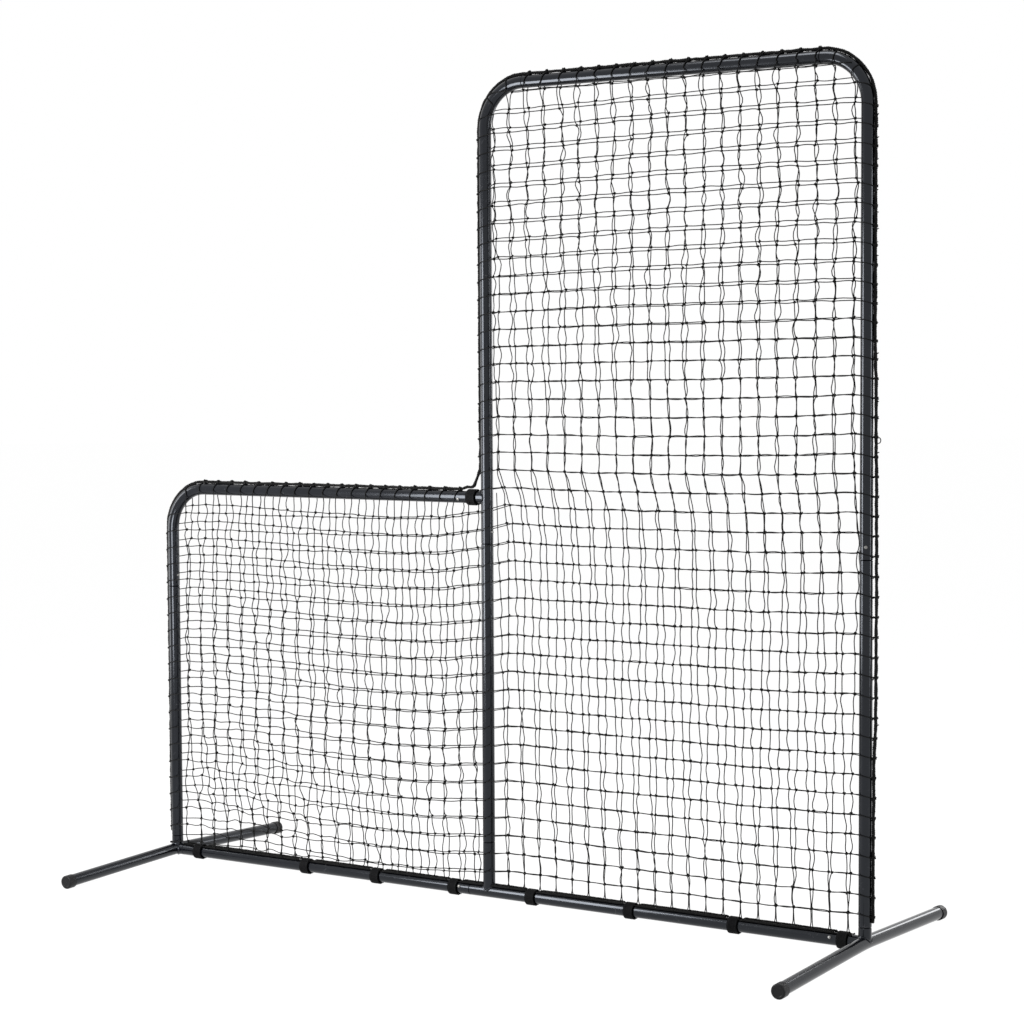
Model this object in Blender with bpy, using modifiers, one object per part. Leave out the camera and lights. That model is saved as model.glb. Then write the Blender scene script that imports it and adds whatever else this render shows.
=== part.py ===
"""Baseball L screen: a knock-down steel tube frame on two bent feet, with a two-layer net.

The frame stands in the XZ plane and its front faces -Y, the side the balls come from.
The low half is at -X, the tall half at +X. The origin is on the floor, under the middle upright.
The frame takes apart at push-fit joints: one tube's end is drawn down to a spigot that slides
into the next tube, and a spring snap button in the spigot pops out through both walls.
The net is a sleeve of two layers, one before and one behind the tubes, sewn together round
the outside and closed along the bottom with hook-and-loop straps. All lengths are metres.
"""
import math

import bmesh
import bpy
from mathutils import Matrix, Vector

for old_object in list(bpy.data.objects):
    bpy.data.objects.remove(old_object, do_unlink=True)

# Driving sizes of the frame
overall_height = 2.134
upright_spacing = 1.067
notch_height = 1.0613
tube_radius = 0.0159
tube_wall = 0.0015
bend_radius = 0.114
foot_length = 0.914
foot_rise = 0.0153
foot_bend_radius = 1.2

# Push-fit joints: spigot, its socket and the snap button
spigot_length = 0.060
spigot_slip = 0.0006
spigot_root = 0.012
shoulder_taper = 0.0020
seat_gap = 0.0003
spigot_lead_in = 0.0010
button_inset = 0.030
button_radius = 0.0040
button_stand_out = 0.0030
button_travel = 0.0048
button_hole_clearance = 0.0004
button_turn = math.radians(20)
leaf_width = 0.0088
leaf_thickness = 0.0008
leaf_length = 0.034
leaf_overhang = 0.0060
leaf_return = 0.024
leaf_clearance = 0.0015
cut_overrun = 0.0050

# Where the joints' open edges lie, from the axis of the tube that the stub is welded to
foot_upright_stub = 0.039
left_foot_rail_stub = 0.030
right_foot_rail_stub = 0.055
tee_rail_stub = 0.056
tee_upright_stub = 0.131
notch_rail_stub = 0.051
corner_straight = 0.006

# How far the joints in the uprights lie below the low rail's axis
left_joint_drop = 0.2765
tall_joint_drop = 0.1185

# Foot caps
cap_clearance = 0.0003
cap_wall = 0.0018
cap_end_wall = 0.0030
cap_sleeve = 0.022
cap_edge_radius = 0.0030
cap_tread_depth = 0.0005

# Net, its seam rope and the straps
net_bar = 0.0024
net_clearance = 0.0003
net_split_gap = 0.0003
seam_radius = 0.0025
seam_clearance = 0.0003
seam_end_height = 0.050
seam_leave_height = 0.072
seam_strap_rise = 0.0056
strap_width = 0.038
strap_thickness = 0.0020
strap_clearance = 0.0004
tab_clearance = 0.0005
tab_thickness = 0.0018
tab_width = 0.036
tab_root_angle = math.radians(30)
tab_tip_angle = math.radians(-70)

# Strap centres along the bottom rail, as shares of its length between the outer uprights' axes,
# and how far the strap at the notch lies from the middle upright's axis
strap_place_shares = (0.040, 0.219, 0.331, 0.450, 0.563, 0.7005, 0.838, 0.975)
notch_strap_reach = 0.042

# Net meshes modelled across and up each panel
low_columns = 8
low_rows = 6
tall_columns = 11
tall_rows = 11

# Facets
tube_sides = 16
bore_sides = 12
button_sides = 10
strap_sides = 16
cap_sides = 20
seam_sides = 6
bend_steps = 6
foot_bend_steps = 2
leaf_bend_steps = 4
tab_steps = 5
weld_distance = 0.00001

# Sizes that follow from the ones above
bore_radius = tube_radius - tube_wall
spigot_radius = bore_radius - spigot_slip
spigot_bore = spigot_radius - tube_wall
root_radius = (tube_radius + bore_radius) / 2
cap_radius = tube_radius + cap_clearance + cap_wall
foot_end_z = cap_radius - cap_tread_depth
rail_z = foot_end_z + foot_rise
top_z = overall_height - tube_radius
left_x = -upright_spacing
right_x = upright_spacing
strap_inner = math.hypot(tube_radius + net_clearance + net_bar, net_bar / 2) + strap_clearance
strap_outer = strap_inner + strap_thickness
tab_inner = strap_outer + tab_clearance
tab_outer = tab_inner + tab_thickness
seam_offset = tube_radius + seam_clearance + seam_radius
net_offset = tube_radius + net_clearance + net_bar / 2

AXIS_X = Vector((1, 0, 0))
AXIS_Y = Vector((0, 1, 0))
AXIS_Z = Vector((0, 0, 1))

screen_parts = bpy.data.collections.new("baseball_l_screen")
screen_tools = bpy.data.collections.new("cutters")
bpy.context.scene.collection.children.link(screen_parts)
bpy.context.scene.collection.children.link(screen_tools)


def make_material(name, colour, roughness, metallic):
    """A Principled material in the part's own colour."""
    material = bpy.data.materials.new(name)
    material.use_nodes = True
    shader = material.node_tree.nodes["Principled BSDF"]
    shader.inputs["Base Color"].default_value = (*colour, 1)
    shader.inputs["Roughness"].default_value = roughness
    shader.inputs["Metallic"].default_value = metallic
    return material


coated_steel = make_material("black_powder_coat", (0.022, 0.023, 0.026), 0.35, 0.0)
cap_plastic = make_material("black_cap_plastic", (0.020, 0.020, 0.021), 0.55, 0.0)
spring_steel = make_material("zinc_plated_steel", (0.62, 0.62, 0.60), 0.30, 1.0)
net_twine = make_material("black_net_twine", (0.012, 0.012, 0.012), 0.80, 0.0)
strap_webbing = make_material("black_strap_webbing", (0.010, 0.010, 0.012), 0.90, 0.0)


def add_part(name, mesh, material):
    """A named piece of the screen."""
    piece = bpy.data.objects.new(name, mesh)
    screen_parts.objects.link(piece)
    piece.data.materials.clear()
    piece.data.materials.append(material)
    piece.data.shade_smooth()
    piece.data.set_sharp_from_angle(angle=math.radians(30))
    return piece


def add_tool(name, mesh):
    """A shape that cuts or joins a piece, and isn't a piece itself."""
    tool = bpy.data.objects.new(name, mesh)
    screen_tools.objects.link(tool)
    tool.hide_render = True
    tool.display_type = "WIRE"
    return tool


def combine(piece, tool, operation):
    """Cut the tool from the piece, or join it to the piece."""
    modifier = piece.modifiers.new(tool.name, "BOOLEAN")
    modifier.operation = operation
    modifier.object = tool
    modifier.solver = "EXACT"


def turned_mesh(name, outline, sides, closed):
    """A mesh turned about Z from (radius, height) points that run down the outer side."""
    profile = bpy.data.meshes.new(name + "_profile")
    points = [(radius, 0, height) for radius, height in outline]
    edges = [(index, index + 1) for index in range(len(points) - 1)]
    if closed:
        edges.append((len(points) - 1, 0))
    profile.from_pydata(points, edges, [])
    turned = bpy.data.objects.new(name + "_turned", profile)
    bpy.context.scene.collection.objects.link(turned)
    screw = turned.modifiers.new("turn", "SCREW")
    screw.axis = "Z"
    screw.steps = sides
    screw.render_steps = sides
    screw.use_merge_vertices = True
    screw.merge_threshold = weld_distance
    return mesh_from(turned, name)


def mesh_from(source, name):
    """The evaluated shape of a curve or a profile as a welded mesh; the source is removed."""
    graph = bpy.context.evaluated_depsgraph_get()
    mesh = bpy.data.meshes.new_from_object(source.evaluated_get(graph))
    mesh.name = name
    mesh.transform(source.matrix_world)
    bpy.data.objects.remove(source, do_unlink=True)
    work = bmesh.new()
    work.from_mesh(mesh)
    bmesh.ops.remove_doubles(work, verts=work.verts, dist=weld_distance)
    work.to_mesh(mesh)
    work.free()
    return mesh


def swept_mesh(name, path, radius, sides):
    """A round bar along a path of points, with closed ends."""
    curve = bpy.data.curves.new(name, "CURVE")
    curve.dimensions = "3D"
    curve.bevel_depth = radius
    curve.bevel_resolution = sides // 2 - 2
    curve.use_fill_caps = True
    spline = curve.splines.new("POLY")
    spline.points.add(len(path) - 1)
    for point, place in zip(spline.points, path):
        point.co = (*place, 1)
    holder = bpy.data.objects.new(name, curve)
    bpy.context.scene.collection.objects.link(holder)
    return mesh_from(holder, name)


def flat_mesh(name, outlines, thickness):
    """A flat plate in XY from closed outlines, the first the outside and the rest its holes."""
    curve = bpy.data.curves.new(name, "CURVE")
    curve.dimensions = "2D"
    curve.fill_mode = "BOTH"
    curve.extrude = thickness / 2
    for outline in outlines:
        spline = curve.splines.new("POLY")
        spline.points.add(len(outline) - 1)
        for point, (across, along) in zip(spline.points, outline):
            point.co = (across, along, 0, 1)
        spline.use_cyclic_u = True
    holder = bpy.data.objects.new(name, curve)
    bpy.context.scene.collection.objects.link(holder)
    return mesh_from(holder, name)


def cylinder_mesh(name, radius, length, sides):
    """A plain cylinder about Z, centred on its origin."""
    mesh = bpy.data.meshes.new(name)
    work = bmesh.new()
    bmesh.ops.create_cone(work, cap_ends=True, segments=sides, radius1=radius,
                          radius2=radius, depth=length)
    work.to_mesh(mesh)
    work.free()
    return mesh


def box_mesh(name, size_x, size_y, size_z):
    """A plain box centred on its origin."""
    mesh = bpy.data.meshes.new(name)
    work = bmesh.new()
    bmesh.ops.create_cube(work, size=1)
    bmesh.ops.scale(work, vec=(size_x, size_y, size_z), verts=work.verts)
    work.to_mesh(mesh)
    work.free()
    return mesh


def facing(place, z_axis, x_axis):
    """A placing whose local Z and X point the given ways."""
    y_axis = z_axis.cross(x_axis)
    turn = Matrix((x_axis, y_axis, z_axis)).transposed()
    return Matrix.Translation(place) @ turn.to_4x4()


def arc(centre, start, turn, steps):
    """Points on an arc in the plane of start and turn, two vectors from its centre."""
    angles = [math.pi / 2 * step / steps for step in range(steps + 1)]
    return [centre + math.cos(angle) * start + math.sin(angle) * turn for angle in angles]


def bent_path(first, corner, last, radius):
    """A path from first to last by way of a corner rounded to the radius."""
    come = (first - corner).normalized()
    leave = (last - corner).normalized()
    centre = corner + radius * come + radius * leave
    return [first, *arc(centre, -radius * leave, -radius * come, bend_steps), last]


def bar_along(name, start, end, radius, sides):
    """A cylinder between two points of the XZ plane, as a tool, its facets half a step round."""
    run = end - start
    tool = add_tool(name, cylinder_mesh(name, radius, run.length, sides))
    half_step = Matrix.Rotation(math.pi / sides, 4, "Z")
    tool.matrix_world = facing((start + end) / 2, run.normalized(), AXIS_Y) @ half_step
    return tool


def hollow_tube(name, path, stubs=()):
    """A steel tube along a path, with open ends and short stubs welded on square to it."""
    origin = path[0]
    line = [place - origin for place in path]
    piece = add_part(name, swept_mesh(name, line, tube_radius, tube_sides), coated_steel)
    piece.location = origin
    for number, (start, end) in enumerate(stubs, 1):
        stub = bar_along(f"{name}_stub_{number}", start, end, tube_radius, tube_sides)
        combine(piece, stub, "UNION")
    into = (line[0] - line[1]).normalized() * cut_overrun
    out = (line[-1] - line[-2]).normalized() * cut_overrun
    core_line = [line[0] + into, *line[1:-1], line[-1] + out]
    bore = add_tool(name + "_bore", swept_mesh(name + "_bore", core_line, bore_radius, bore_sides))
    bore.location = origin
    combine(piece, bore, "DIFFERENCE")
    for number, (start, end) in enumerate(stubs, 1):
        axis = (end - start).normalized()
        stub_bore = bar_along(f"{name}_stub_bore_{number}", start + axis * (tube_radius + tube_wall),
                              end + axis * cut_overrun, bore_radius, bore_sides)
        combine(piece, stub_bore, "DIFFERENCE")
    return piece


spigot_outline = [
    (spigot_radius - spigot_lead_in, spigot_length),
    (spigot_radius, spigot_length - spigot_lead_in),
    (spigot_radius, -seat_gap),
    (root_radius, -seat_gap - shoulder_taper),
    (root_radius, -spigot_root),
    (spigot_bore, -spigot_root),
    (spigot_bore, spigot_length),
]
spigot_shape = turned_mesh("spigot", spigot_outline, bore_sides, True)


def add_spigot(piece, name, edge, direction):
    """The drawn-down end that goes past the socket's edge into the next tube."""
    spigot = add_tool(name, spigot_shape)
    spigot.matrix_world = facing(edge, direction, AXIS_Y)
    combine(piece, spigot, "UNION")


def shoulder(edge, direction):
    """Where the full-size tube stops, just short of the socket's edge."""
    return edge - direction * (seat_gap + shoulder_taper)


# Places that the pieces share
foot_centre_left = Vector((left_x, 0, rail_z))
foot_centre_right = Vector((right_x, 0, rail_z))
tee_centre = Vector((0, 0, rail_z))
notch_centre = Vector((0, 0, notch_height))
low_corner = Vector((left_x, 0, notch_height))
inner_top_corner = Vector((0, 0, top_z))
outer_top_corner = Vector((right_x, 0, top_z))
edge_left_foot_up = foot_centre_left + AXIS_Z * foot_upright_stub
edge_right_foot_up = foot_centre_right + AXIS_Z * foot_upright_stub
edge_left_foot_rail = foot_centre_left + AXIS_X * left_foot_rail_stub
edge_right_foot_rail = foot_centre_right - AXIS_X * right_foot_rail_stub
edge_tee_rail = tee_centre - AXIS_X * tee_rail_stub
edge_tee_up = tee_centre + AXIS_Z * tee_upright_stub
edge_left_split = low_corner - AXIS_Z * left_joint_drop
edge_middle_split = notch_centre - AXIS_Z * tall_joint_drop
edge_right_split = edge_middle_split + AXIS_X * upright_spacing
edge_notch_rail = notch_centre - AXIS_X * notch_rail_stub
edge_top_inner = inner_top_corner + AXIS_X * (bend_radius + corner_straight)
edge_top_outer = outer_top_corner - AXIS_X * (bend_radius + corner_straight)


def foot_path(x):
    """The foot's line: two straight halves that rise to a long bend under the upright."""
    end_y = foot_length / 2 - cap_end_wall - cap_clearance
    slope = math.atan2(foot_rise, end_y)
    half_bend = foot_bend_radius * math.sin(slope)
    drop = foot_bend_radius * (1 - math.cos(slope))
    path = [Vector((x, -end_y, foot_end_z))]
    for step in range(-foot_bend_steps, foot_bend_steps + 1):
        angle = slope * step / foot_bend_steps
        path.append(Vector((x, foot_bend_radius * math.sin(angle),
                            rail_z - foot_bend_radius * (1 - math.cos(angle)))))
    path.append(Vector((x, end_y, foot_end_z)))
    assert half_bend < end_y and drop < foot_rise
    return path


def make_foot(name, centre, rail_edge, rail_direction, upright_edge):
    """A bent foot tube with two short stubs welded on, for the bottom rail and the upright."""
    stubs = ((centre, shoulder(rail_edge, rail_direction)), (centre, shoulder(upright_edge, AXIS_Z)))
    foot = hollow_tube(name, foot_path(centre.x), stubs)
    add_spigot(foot, name + "_rail_spigot", rail_edge, rail_direction)
    add_spigot(foot, name + "_upright_spigot", upright_edge, AXIS_Z)
    return foot


left_foot = make_foot("left_foot", foot_centre_left, edge_left_foot_rail, AXIS_X,
                      edge_left_foot_up)
right_foot = make_foot("right_foot", foot_centre_right, edge_right_foot_rail, -AXIS_X,
                       edge_right_foot_up)
left_lower_upright = hollow_tube("left_lower_upright", [edge_left_foot_up,
                                                        shoulder(edge_left_split, AXIS_Z)])
middle_lower_upright = hollow_tube("middle_lower_upright", [edge_tee_up,
                                                            shoulder(edge_middle_split, AXIS_Z)])
right_lower_upright = hollow_tube("right_lower_upright", [edge_right_foot_up,
                                                          shoulder(edge_right_split, AXIS_Z)])
low_corner_tube = hollow_tube("low_corner_tube", bent_path(edge_left_split, low_corner,
                                                           edge_notch_rail, bend_radius))
notch_upright = hollow_tube("notch_upright",
                            bent_path(edge_middle_split, inner_top_corner,
                                      shoulder(edge_top_inner, AXIS_X), bend_radius),
                            [(notch_centre, shoulder(edge_notch_rail, -AXIS_X))])
top_rail = hollow_tube("top_rail", [edge_top_inner, edge_top_outer])
right_corner_tube = hollow_tube("right_corner_tube",
                                bent_path(edge_right_split, outer_top_corner,
                                          shoulder(edge_top_outer, -AXIS_X), bend_radius))
left_bottom_rail = hollow_tube("left_bottom_rail", [edge_left_foot_rail, edge_tee_rail])
right_bottom_rail = hollow_tube("right_bottom_rail",
                                [shoulder(edge_tee_rail, -AXIS_X), edge_right_foot_rail],
                                [(tee_centre, shoulder(edge_tee_up, AXIS_Z))])

add_spigot(left_lower_upright, "left_split_spigot", edge_left_split, AXIS_Z)
add_spigot(middle_lower_upright, "middle_split_spigot", edge_middle_split, AXIS_Z)
add_spigot(right_lower_upright, "right_split_spigot", edge_right_split, AXIS_Z)
add_spigot(notch_upright, "notch_rail_spigot", edge_notch_rail, -AXIS_X)
add_spigot(notch_upright, "top_inner_spigot", edge_top_inner, AXIS_X)
add_spigot(right_corner_tube, "top_outer_spigot", edge_top_outer, -AXIS_X)
add_spigot(right_bottom_rail, "tee_rail_spigot", edge_tee_rail, -AXIS_X)
add_spigot(right_bottom_rail, "tee_upright_spigot", edge_tee_up, AXIS_Z)


def cap_outline():
    """Half of a cup: its closed end at the bottom, with a rounded outer edge."""
    floor = -cap_end_wall
    rounded = []
    for step in range(4):
        angle = math.pi / 2 * step / 3
        rounded.append((cap_radius - cap_edge_radius * (1 - math.cos(angle)),
                        floor + cap_edge_radius * (1 - math.sin(angle))))
    inner = tube_radius + cap_clearance
    return [(0, 0), (inner, 0), (inner, cap_sleeve), (cap_radius, cap_sleeve), *rounded, (0, floor)]


cap_shape = turned_mesh("foot_cap", cap_outline(), cap_sides, False)
floor_cut = add_tool("floor_cut", box_mesh("floor_cut", upright_spacing * 3, foot_length * 2,
                                           cap_radius))
floor_cut.location.z = -cap_radius / 2


def add_cap(name, path_end, path_next):
    """A cup pushed over a foot tube's end, with a small flat tread on the floor."""
    inward = (path_next - path_end).normalized()
    cap = add_part(name, cap_shape.copy(), cap_plastic)
    cap.matrix_world = facing(path_end - inward * cap_clearance, inward, AXIS_X)
    combine(cap, floor_cut, "DIFFERENCE")


for side, side_x in (("left", left_x), ("right", right_x)):
    line = foot_path(side_x)
    add_cap(side + "_foot_front_cap", line[0], line[1])
    add_cap(side + "_foot_back_cap", line[-1], line[-2])


def leaf_outline():
    """The bent leaf seen from the side: along the tube in X, towards the button in Y."""
    high = spigot_bore - leaf_clearance
    low = high - leaf_thickness
    bend = (high + button_travel_room()) / 2
    centre_y = high - bend
    outer = [(leaf_overhang, high)]
    inner = [(leaf_overhang, low)]
    for step in range(leaf_bend_steps + 1):
        angle = math.pi / 2 + math.pi * step / leaf_bend_steps
        for points, radius in ((outer, bend), (inner, bend - leaf_thickness)):
            points.append((-leaf_length + radius * math.cos(angle),
                           centre_y + radius * math.sin(angle)))
    end_x = -leaf_length + leaf_return
    outer.append((end_x, centre_y - bend))
    inner.append((end_x, centre_y - bend + leaf_thickness))
    return outer + inner[::-1]


def button_travel_room():
    """How far below the axis the leaf's return leg may lie and still clear the far wall."""
    return spigot_bore - leaf_clearance - button_travel


def button_outline():
    """Half of the button: its domed top first, then its shank down into the leaf."""
    top = tube_radius + button_stand_out
    foot = spigot_bore - leaf_clearance - leaf_thickness / 2
    points = []
    for step in range(4):
        angle = math.pi / 2 * step / 3
        points.append((button_radius * math.sin(angle),
                       top - button_stand_out / 2 * (1 - math.cos(angle))))
    return [*points, (button_radius, foot), (0, foot)]


button_shape = turned_mesh("button", button_outline(), button_sides, False)
leaf_shape = flat_mesh("leaf", [leaf_outline()], leaf_width)
leaf_shape.transform(Matrix.Rotation(math.pi / 2, 4, "X"))
hole_length = tube_radius
hole_shape = cylinder_mesh("button_hole", button_radius + button_hole_clearance, hole_length,
                           button_sides)
hole_shape.transform(Matrix.Rotation(math.pi / button_sides, 4, "Z"))


def snap_joint(name, carrier, socket, edge, direction, out):
    """A snap button on its leaf in the spigot, and its hole through both walls."""
    centre = edge + direction * button_inset
    hole = add_tool(name + "_hole", hole_shape)
    hole.matrix_world = facing(centre + out * (spigot_bore / 2 + hole_length / 2), out, direction)
    combine(carrier, hole, "DIFFERENCE")
    combine(socket, hole, "DIFFERENCE")
    button = add_part(name + "_button", button_shape.copy(), spring_steel)
    button.matrix_world = facing(centre, out, direction)
    leaf = add_tool(name + "_leaf", leaf_shape)
    leaf.matrix_world = button.matrix_world
    combine(button, leaf, "UNION")


def turned(out, side):
    """The way a button faces when it is turned aside from the bar at the net's edge."""
    return math.cos(button_turn) * out + math.sin(button_turn) * side


front_up = turned(-AXIS_Y, AXIS_Z)
back_up = turned(AXIS_Y, AXIS_Z)
snap_joint("left_foot_upright", left_foot, left_lower_upright, edge_left_foot_up, AXIS_Z, AXIS_X)
snap_joint("left_foot_rail", left_foot, left_bottom_rail, edge_left_foot_rail, AXIS_X, back_up)
snap_joint("right_foot_upright", right_foot, right_lower_upright, edge_right_foot_up, AXIS_Z,
           -AXIS_X)
snap_joint("right_foot_rail", right_foot, right_bottom_rail, edge_right_foot_rail, -AXIS_X,
           front_up)
snap_joint("left_upright", left_lower_upright, low_corner_tube, edge_left_split, AXIS_Z, AXIS_X)
snap_joint("middle_upright", middle_lower_upright, notch_upright, edge_middle_split, AXIS_Z, AXIS_X)
snap_joint("right_upright", right_lower_upright, right_corner_tube, edge_right_split, AXIS_Z,
           turned(-AXIS_Y, AXIS_X))
snap_joint("tee_upright", right_bottom_rail, middle_lower_upright, edge_tee_up, AXIS_Z, -AXIS_X)
snap_joint("tee_rail", right_bottom_rail, left_bottom_rail, edge_tee_rail, -AXIS_X, front_up)
snap_joint("notch_rail", notch_upright, low_corner_tube, edge_notch_rail, -AXIS_X,
           turned(-AXIS_Y, -AXIS_Z))
snap_joint("top_inner", notch_upright, top_rail, edge_top_inner, AXIS_X, back_up)
snap_joint("top_outer", right_corner_tube, top_rail, edge_top_outer, -AXIS_X, back_up)


def tab_outline():
    """The strap's loose end seen along the rail: an arc of webbing outside the band."""
    outer = []
    inner = []
    for step in range(tab_steps + 1):
        angle = tab_root_angle + (tab_tip_angle - tab_root_angle) * step / tab_steps
        outer.append((tab_outer * math.cos(angle), tab_outer * math.sin(angle)))
        inner.append((tab_inner * math.cos(angle), tab_inner * math.sin(angle)))
    return outer + inner[::-1]


half_strap = strap_width / 2
strap_shape = turned_mesh("strap_band", [(strap_outer, half_strap), (strap_outer, -half_strap),
                                         (strap_inner, -half_strap), (strap_inner, half_strap)],
                          strap_sides, True)
tab_hinge = Vector((tab_inner * math.cos(tab_root_angle), tab_inner * math.sin(tab_root_angle), 0))
tab_shape = flat_mesh("strap_tab", [tab_outline()], tab_width)
tab_shape.transform(Matrix.Translation(-tab_hinge))


def add_strap(name, centre):
    """A band round the rail, and its loose end hinged where the overlap starts."""
    band = add_part(name, strap_shape.copy(), strap_webbing)
    band.matrix_world = facing(centre, AXIS_X, AXIS_Y)
    tab = add_part(name + "_tab", tab_shape.copy(), strap_webbing)
    tab.matrix_world = band.matrix_world @ Matrix.Translation(tab_hinge)


for number, share in enumerate(strap_place_shares, 1):
    add_strap(f"bottom_strap_{number}", foot_centre_left.lerp(foot_centre_right, share))
add_strap("notch_strap", notch_centre - AXIS_X * notch_strap_reach)


def trim_corner(work, x, z, size, steps):
    """Cut a panel's corner off at a place, or round it where it takes more than one step."""
    place = Vector((x, 0, z))
    corner = min(work.verts, key=lambda vert: (vert.co - place).length)
    bmesh.ops.bevel(work, geom=[corner], affect="VERTICES", offset=size, offset_type="OFFSET",
                    segments=steps, profile=0.5)


def net_panel(name, low_x, high_x, high_z, columns, rows, rounded, trimmed):
    """One flat net panel in XZ: a grid, rounded at the bends and trimmed at the foot, whose
    meshes are opened."""
    mesh = bpy.data.meshes.new(name)
    work = bmesh.new()
    grid = bmesh.ops.create_grid(work, x_segments=columns, y_segments=rows, size=1)
    half_width = (high_x - low_x) / 2
    half_height = (high_z - rail_z) / 2
    bmesh.ops.scale(work, vec=(half_width, half_height, 1), verts=grid["verts"])
    bmesh.ops.rotate(work, matrix=Matrix.Rotation(math.pi / 2, 3, "X"), verts=work.verts)
    bmesh.ops.translate(work, vec=(low_x + half_width, 0, rail_z + half_height), verts=work.verts)
    for corner_x in rounded:
        trim_corner(work, corner_x, high_z, bend_radius, bend_steps)
    trim_corner(work, trimmed, rail_z, math.sqrt(2) * (tube_radius + net_clearance), 1)
    cells = list(work.faces)
    bmesh.ops.inset_individual(work, faces=cells, thickness=net_bar / 2, use_even_offset=True)
    bmesh.ops.delete(work, geom=cells, context="FACES")
    work.to_mesh(mesh)
    work.free()
    return mesh


half_split = net_split_gap / 2
low_panel = net_panel("net_low", left_x, -half_split, notch_height, low_columns, low_rows,
                      [left_x], left_x)
tall_panel = net_panel("net_tall", half_split, right_x, top_z, tall_columns, tall_rows,
                       [half_split, right_x], right_x)
for layer, layer_y in (("front", -net_offset), ("back", net_offset)):
    for half_name, panel in (("low", low_panel), ("tall", tall_panel)):
        net = add_part(f"net_{layer}_{half_name}", panel.copy(), net_twine)
        net.location.y = layer_y
        thicken = net.modifiers.new("twine", "SOLIDIFY")
        thicken.thickness = net_bar
        thicken.offset = 0


def seam_path():
    """The seam rope's line, up the outside of the low half, over the strap and round the tall one."""
    side = AXIS_X * seam_offset
    up = AXIS_Z * seam_offset
    start = foot_centre_left - side + AXIS_Z * seam_end_height
    finish = foot_centre_right + side + AXIS_Z * seam_end_height
    strap = notch_centre - AXIS_X * notch_strap_reach
    clear = up + AXIS_Z * seam_strap_rise
    before = strap - AXIS_X * strap_width + up
    leave = notch_centre - side + AXIS_Z * seam_leave_height
    low_arc = bent_path(start, low_corner - side + up, before, bend_radius + seam_offset)
    over = [strap - AXIS_X * half_strap + clear, strap + clear]
    inner_arc = bent_path(leave, inner_top_corner - side + up, outer_top_corner - side + up,
                          bend_radius + seam_offset)
    outer_arc = bent_path(inner_top_corner + side + up, outer_top_corner + side + up, finish,
                          bend_radius + seam_offset)
    return low_arc + over + inner_arc[:-1] + outer_arc[1:]


seam = add_part("net_seam_rope", swept_mesh("net_seam_rope", seam_path(), seam_radius, seam_sides),
                net_twine)
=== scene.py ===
import math

import bmesh
import bpy
from mathutils import Matrix, Vector, noise


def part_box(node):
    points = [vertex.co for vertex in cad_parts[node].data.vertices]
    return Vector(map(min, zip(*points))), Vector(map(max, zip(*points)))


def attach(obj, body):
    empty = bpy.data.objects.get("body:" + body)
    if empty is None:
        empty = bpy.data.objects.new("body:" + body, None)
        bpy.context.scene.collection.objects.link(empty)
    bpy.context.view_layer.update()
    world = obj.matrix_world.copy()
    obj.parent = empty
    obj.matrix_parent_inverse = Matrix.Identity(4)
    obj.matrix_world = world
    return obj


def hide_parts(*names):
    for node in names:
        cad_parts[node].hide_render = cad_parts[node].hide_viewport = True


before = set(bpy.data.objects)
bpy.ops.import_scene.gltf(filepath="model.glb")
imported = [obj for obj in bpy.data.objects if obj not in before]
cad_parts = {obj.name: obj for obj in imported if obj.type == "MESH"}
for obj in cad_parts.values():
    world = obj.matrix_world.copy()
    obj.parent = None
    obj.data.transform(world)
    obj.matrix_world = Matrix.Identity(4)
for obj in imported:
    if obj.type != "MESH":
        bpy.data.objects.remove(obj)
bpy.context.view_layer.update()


# ---- View, lamps and floor ----
# The screen stands on a plain white studio floor, seen from its front right side, six metres away
# and at chest height. A tall soft box lights its front, three narrower ones its edges, and a wide
# one hangs overhead.
X, Y, Z = Vector((1, 0, 0)), Vector((0, 1, 0)), Vector((0, 0, 1))
eye_height = 1.3973
view_place = Vector((3.413, -5.127, eye_height))
view_yaw, view_pitch, view_roll = -0.5769, -0.0606, -0.0052
view_lens = 83.9


def turned_from(side, up, angle):
    """The direction at an angle round from side towards up."""
    return math.cos(angle) * side + math.sin(angle) * up


def facing(place, direction, side=None):
    """A placing whose Z points along direction, and whose X points along side if it is given."""
    if side is None:
        side = direction.orthogonal()
    side = (side - direction * side.dot(direction)).normalized()
    turn = Matrix((side, direction.cross(side), direction)).transposed()
    return Matrix.Translation(place) @ turn.to_4x4()


def aim(place, forward, roll=0.0):
    """The placing of a camera or lamp that looks along forward with its top up."""
    forward = forward.normalized()
    right = forward.cross(Z).normalized()
    return facing(place, -forward, turned_from(right, right.cross(forward), roll))


def place_thing(name, data):
    """A new object in the scene for a mesh, curve, lamp or camera."""
    thing = bpy.data.objects.new(name, data)
    bpy.context.scene.collection.objects.link(thing)
    return thing


view_forward = Vector((math.sin(view_yaw) * math.cos(view_pitch),
                       math.cos(view_yaw) * math.cos(view_pitch), math.sin(view_pitch)))
view_camera = place_thing("view_camera", bpy.data.cameras.new("view_camera"))
view_camera.data.sensor_width = 36
view_camera.data.lens = view_lens
view_camera.matrix_world = aim(view_place, view_forward, view_roll)
bpy.context.scene.camera = view_camera
bpy.context.scene.view_settings.view_transform = "Standard"

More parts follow.
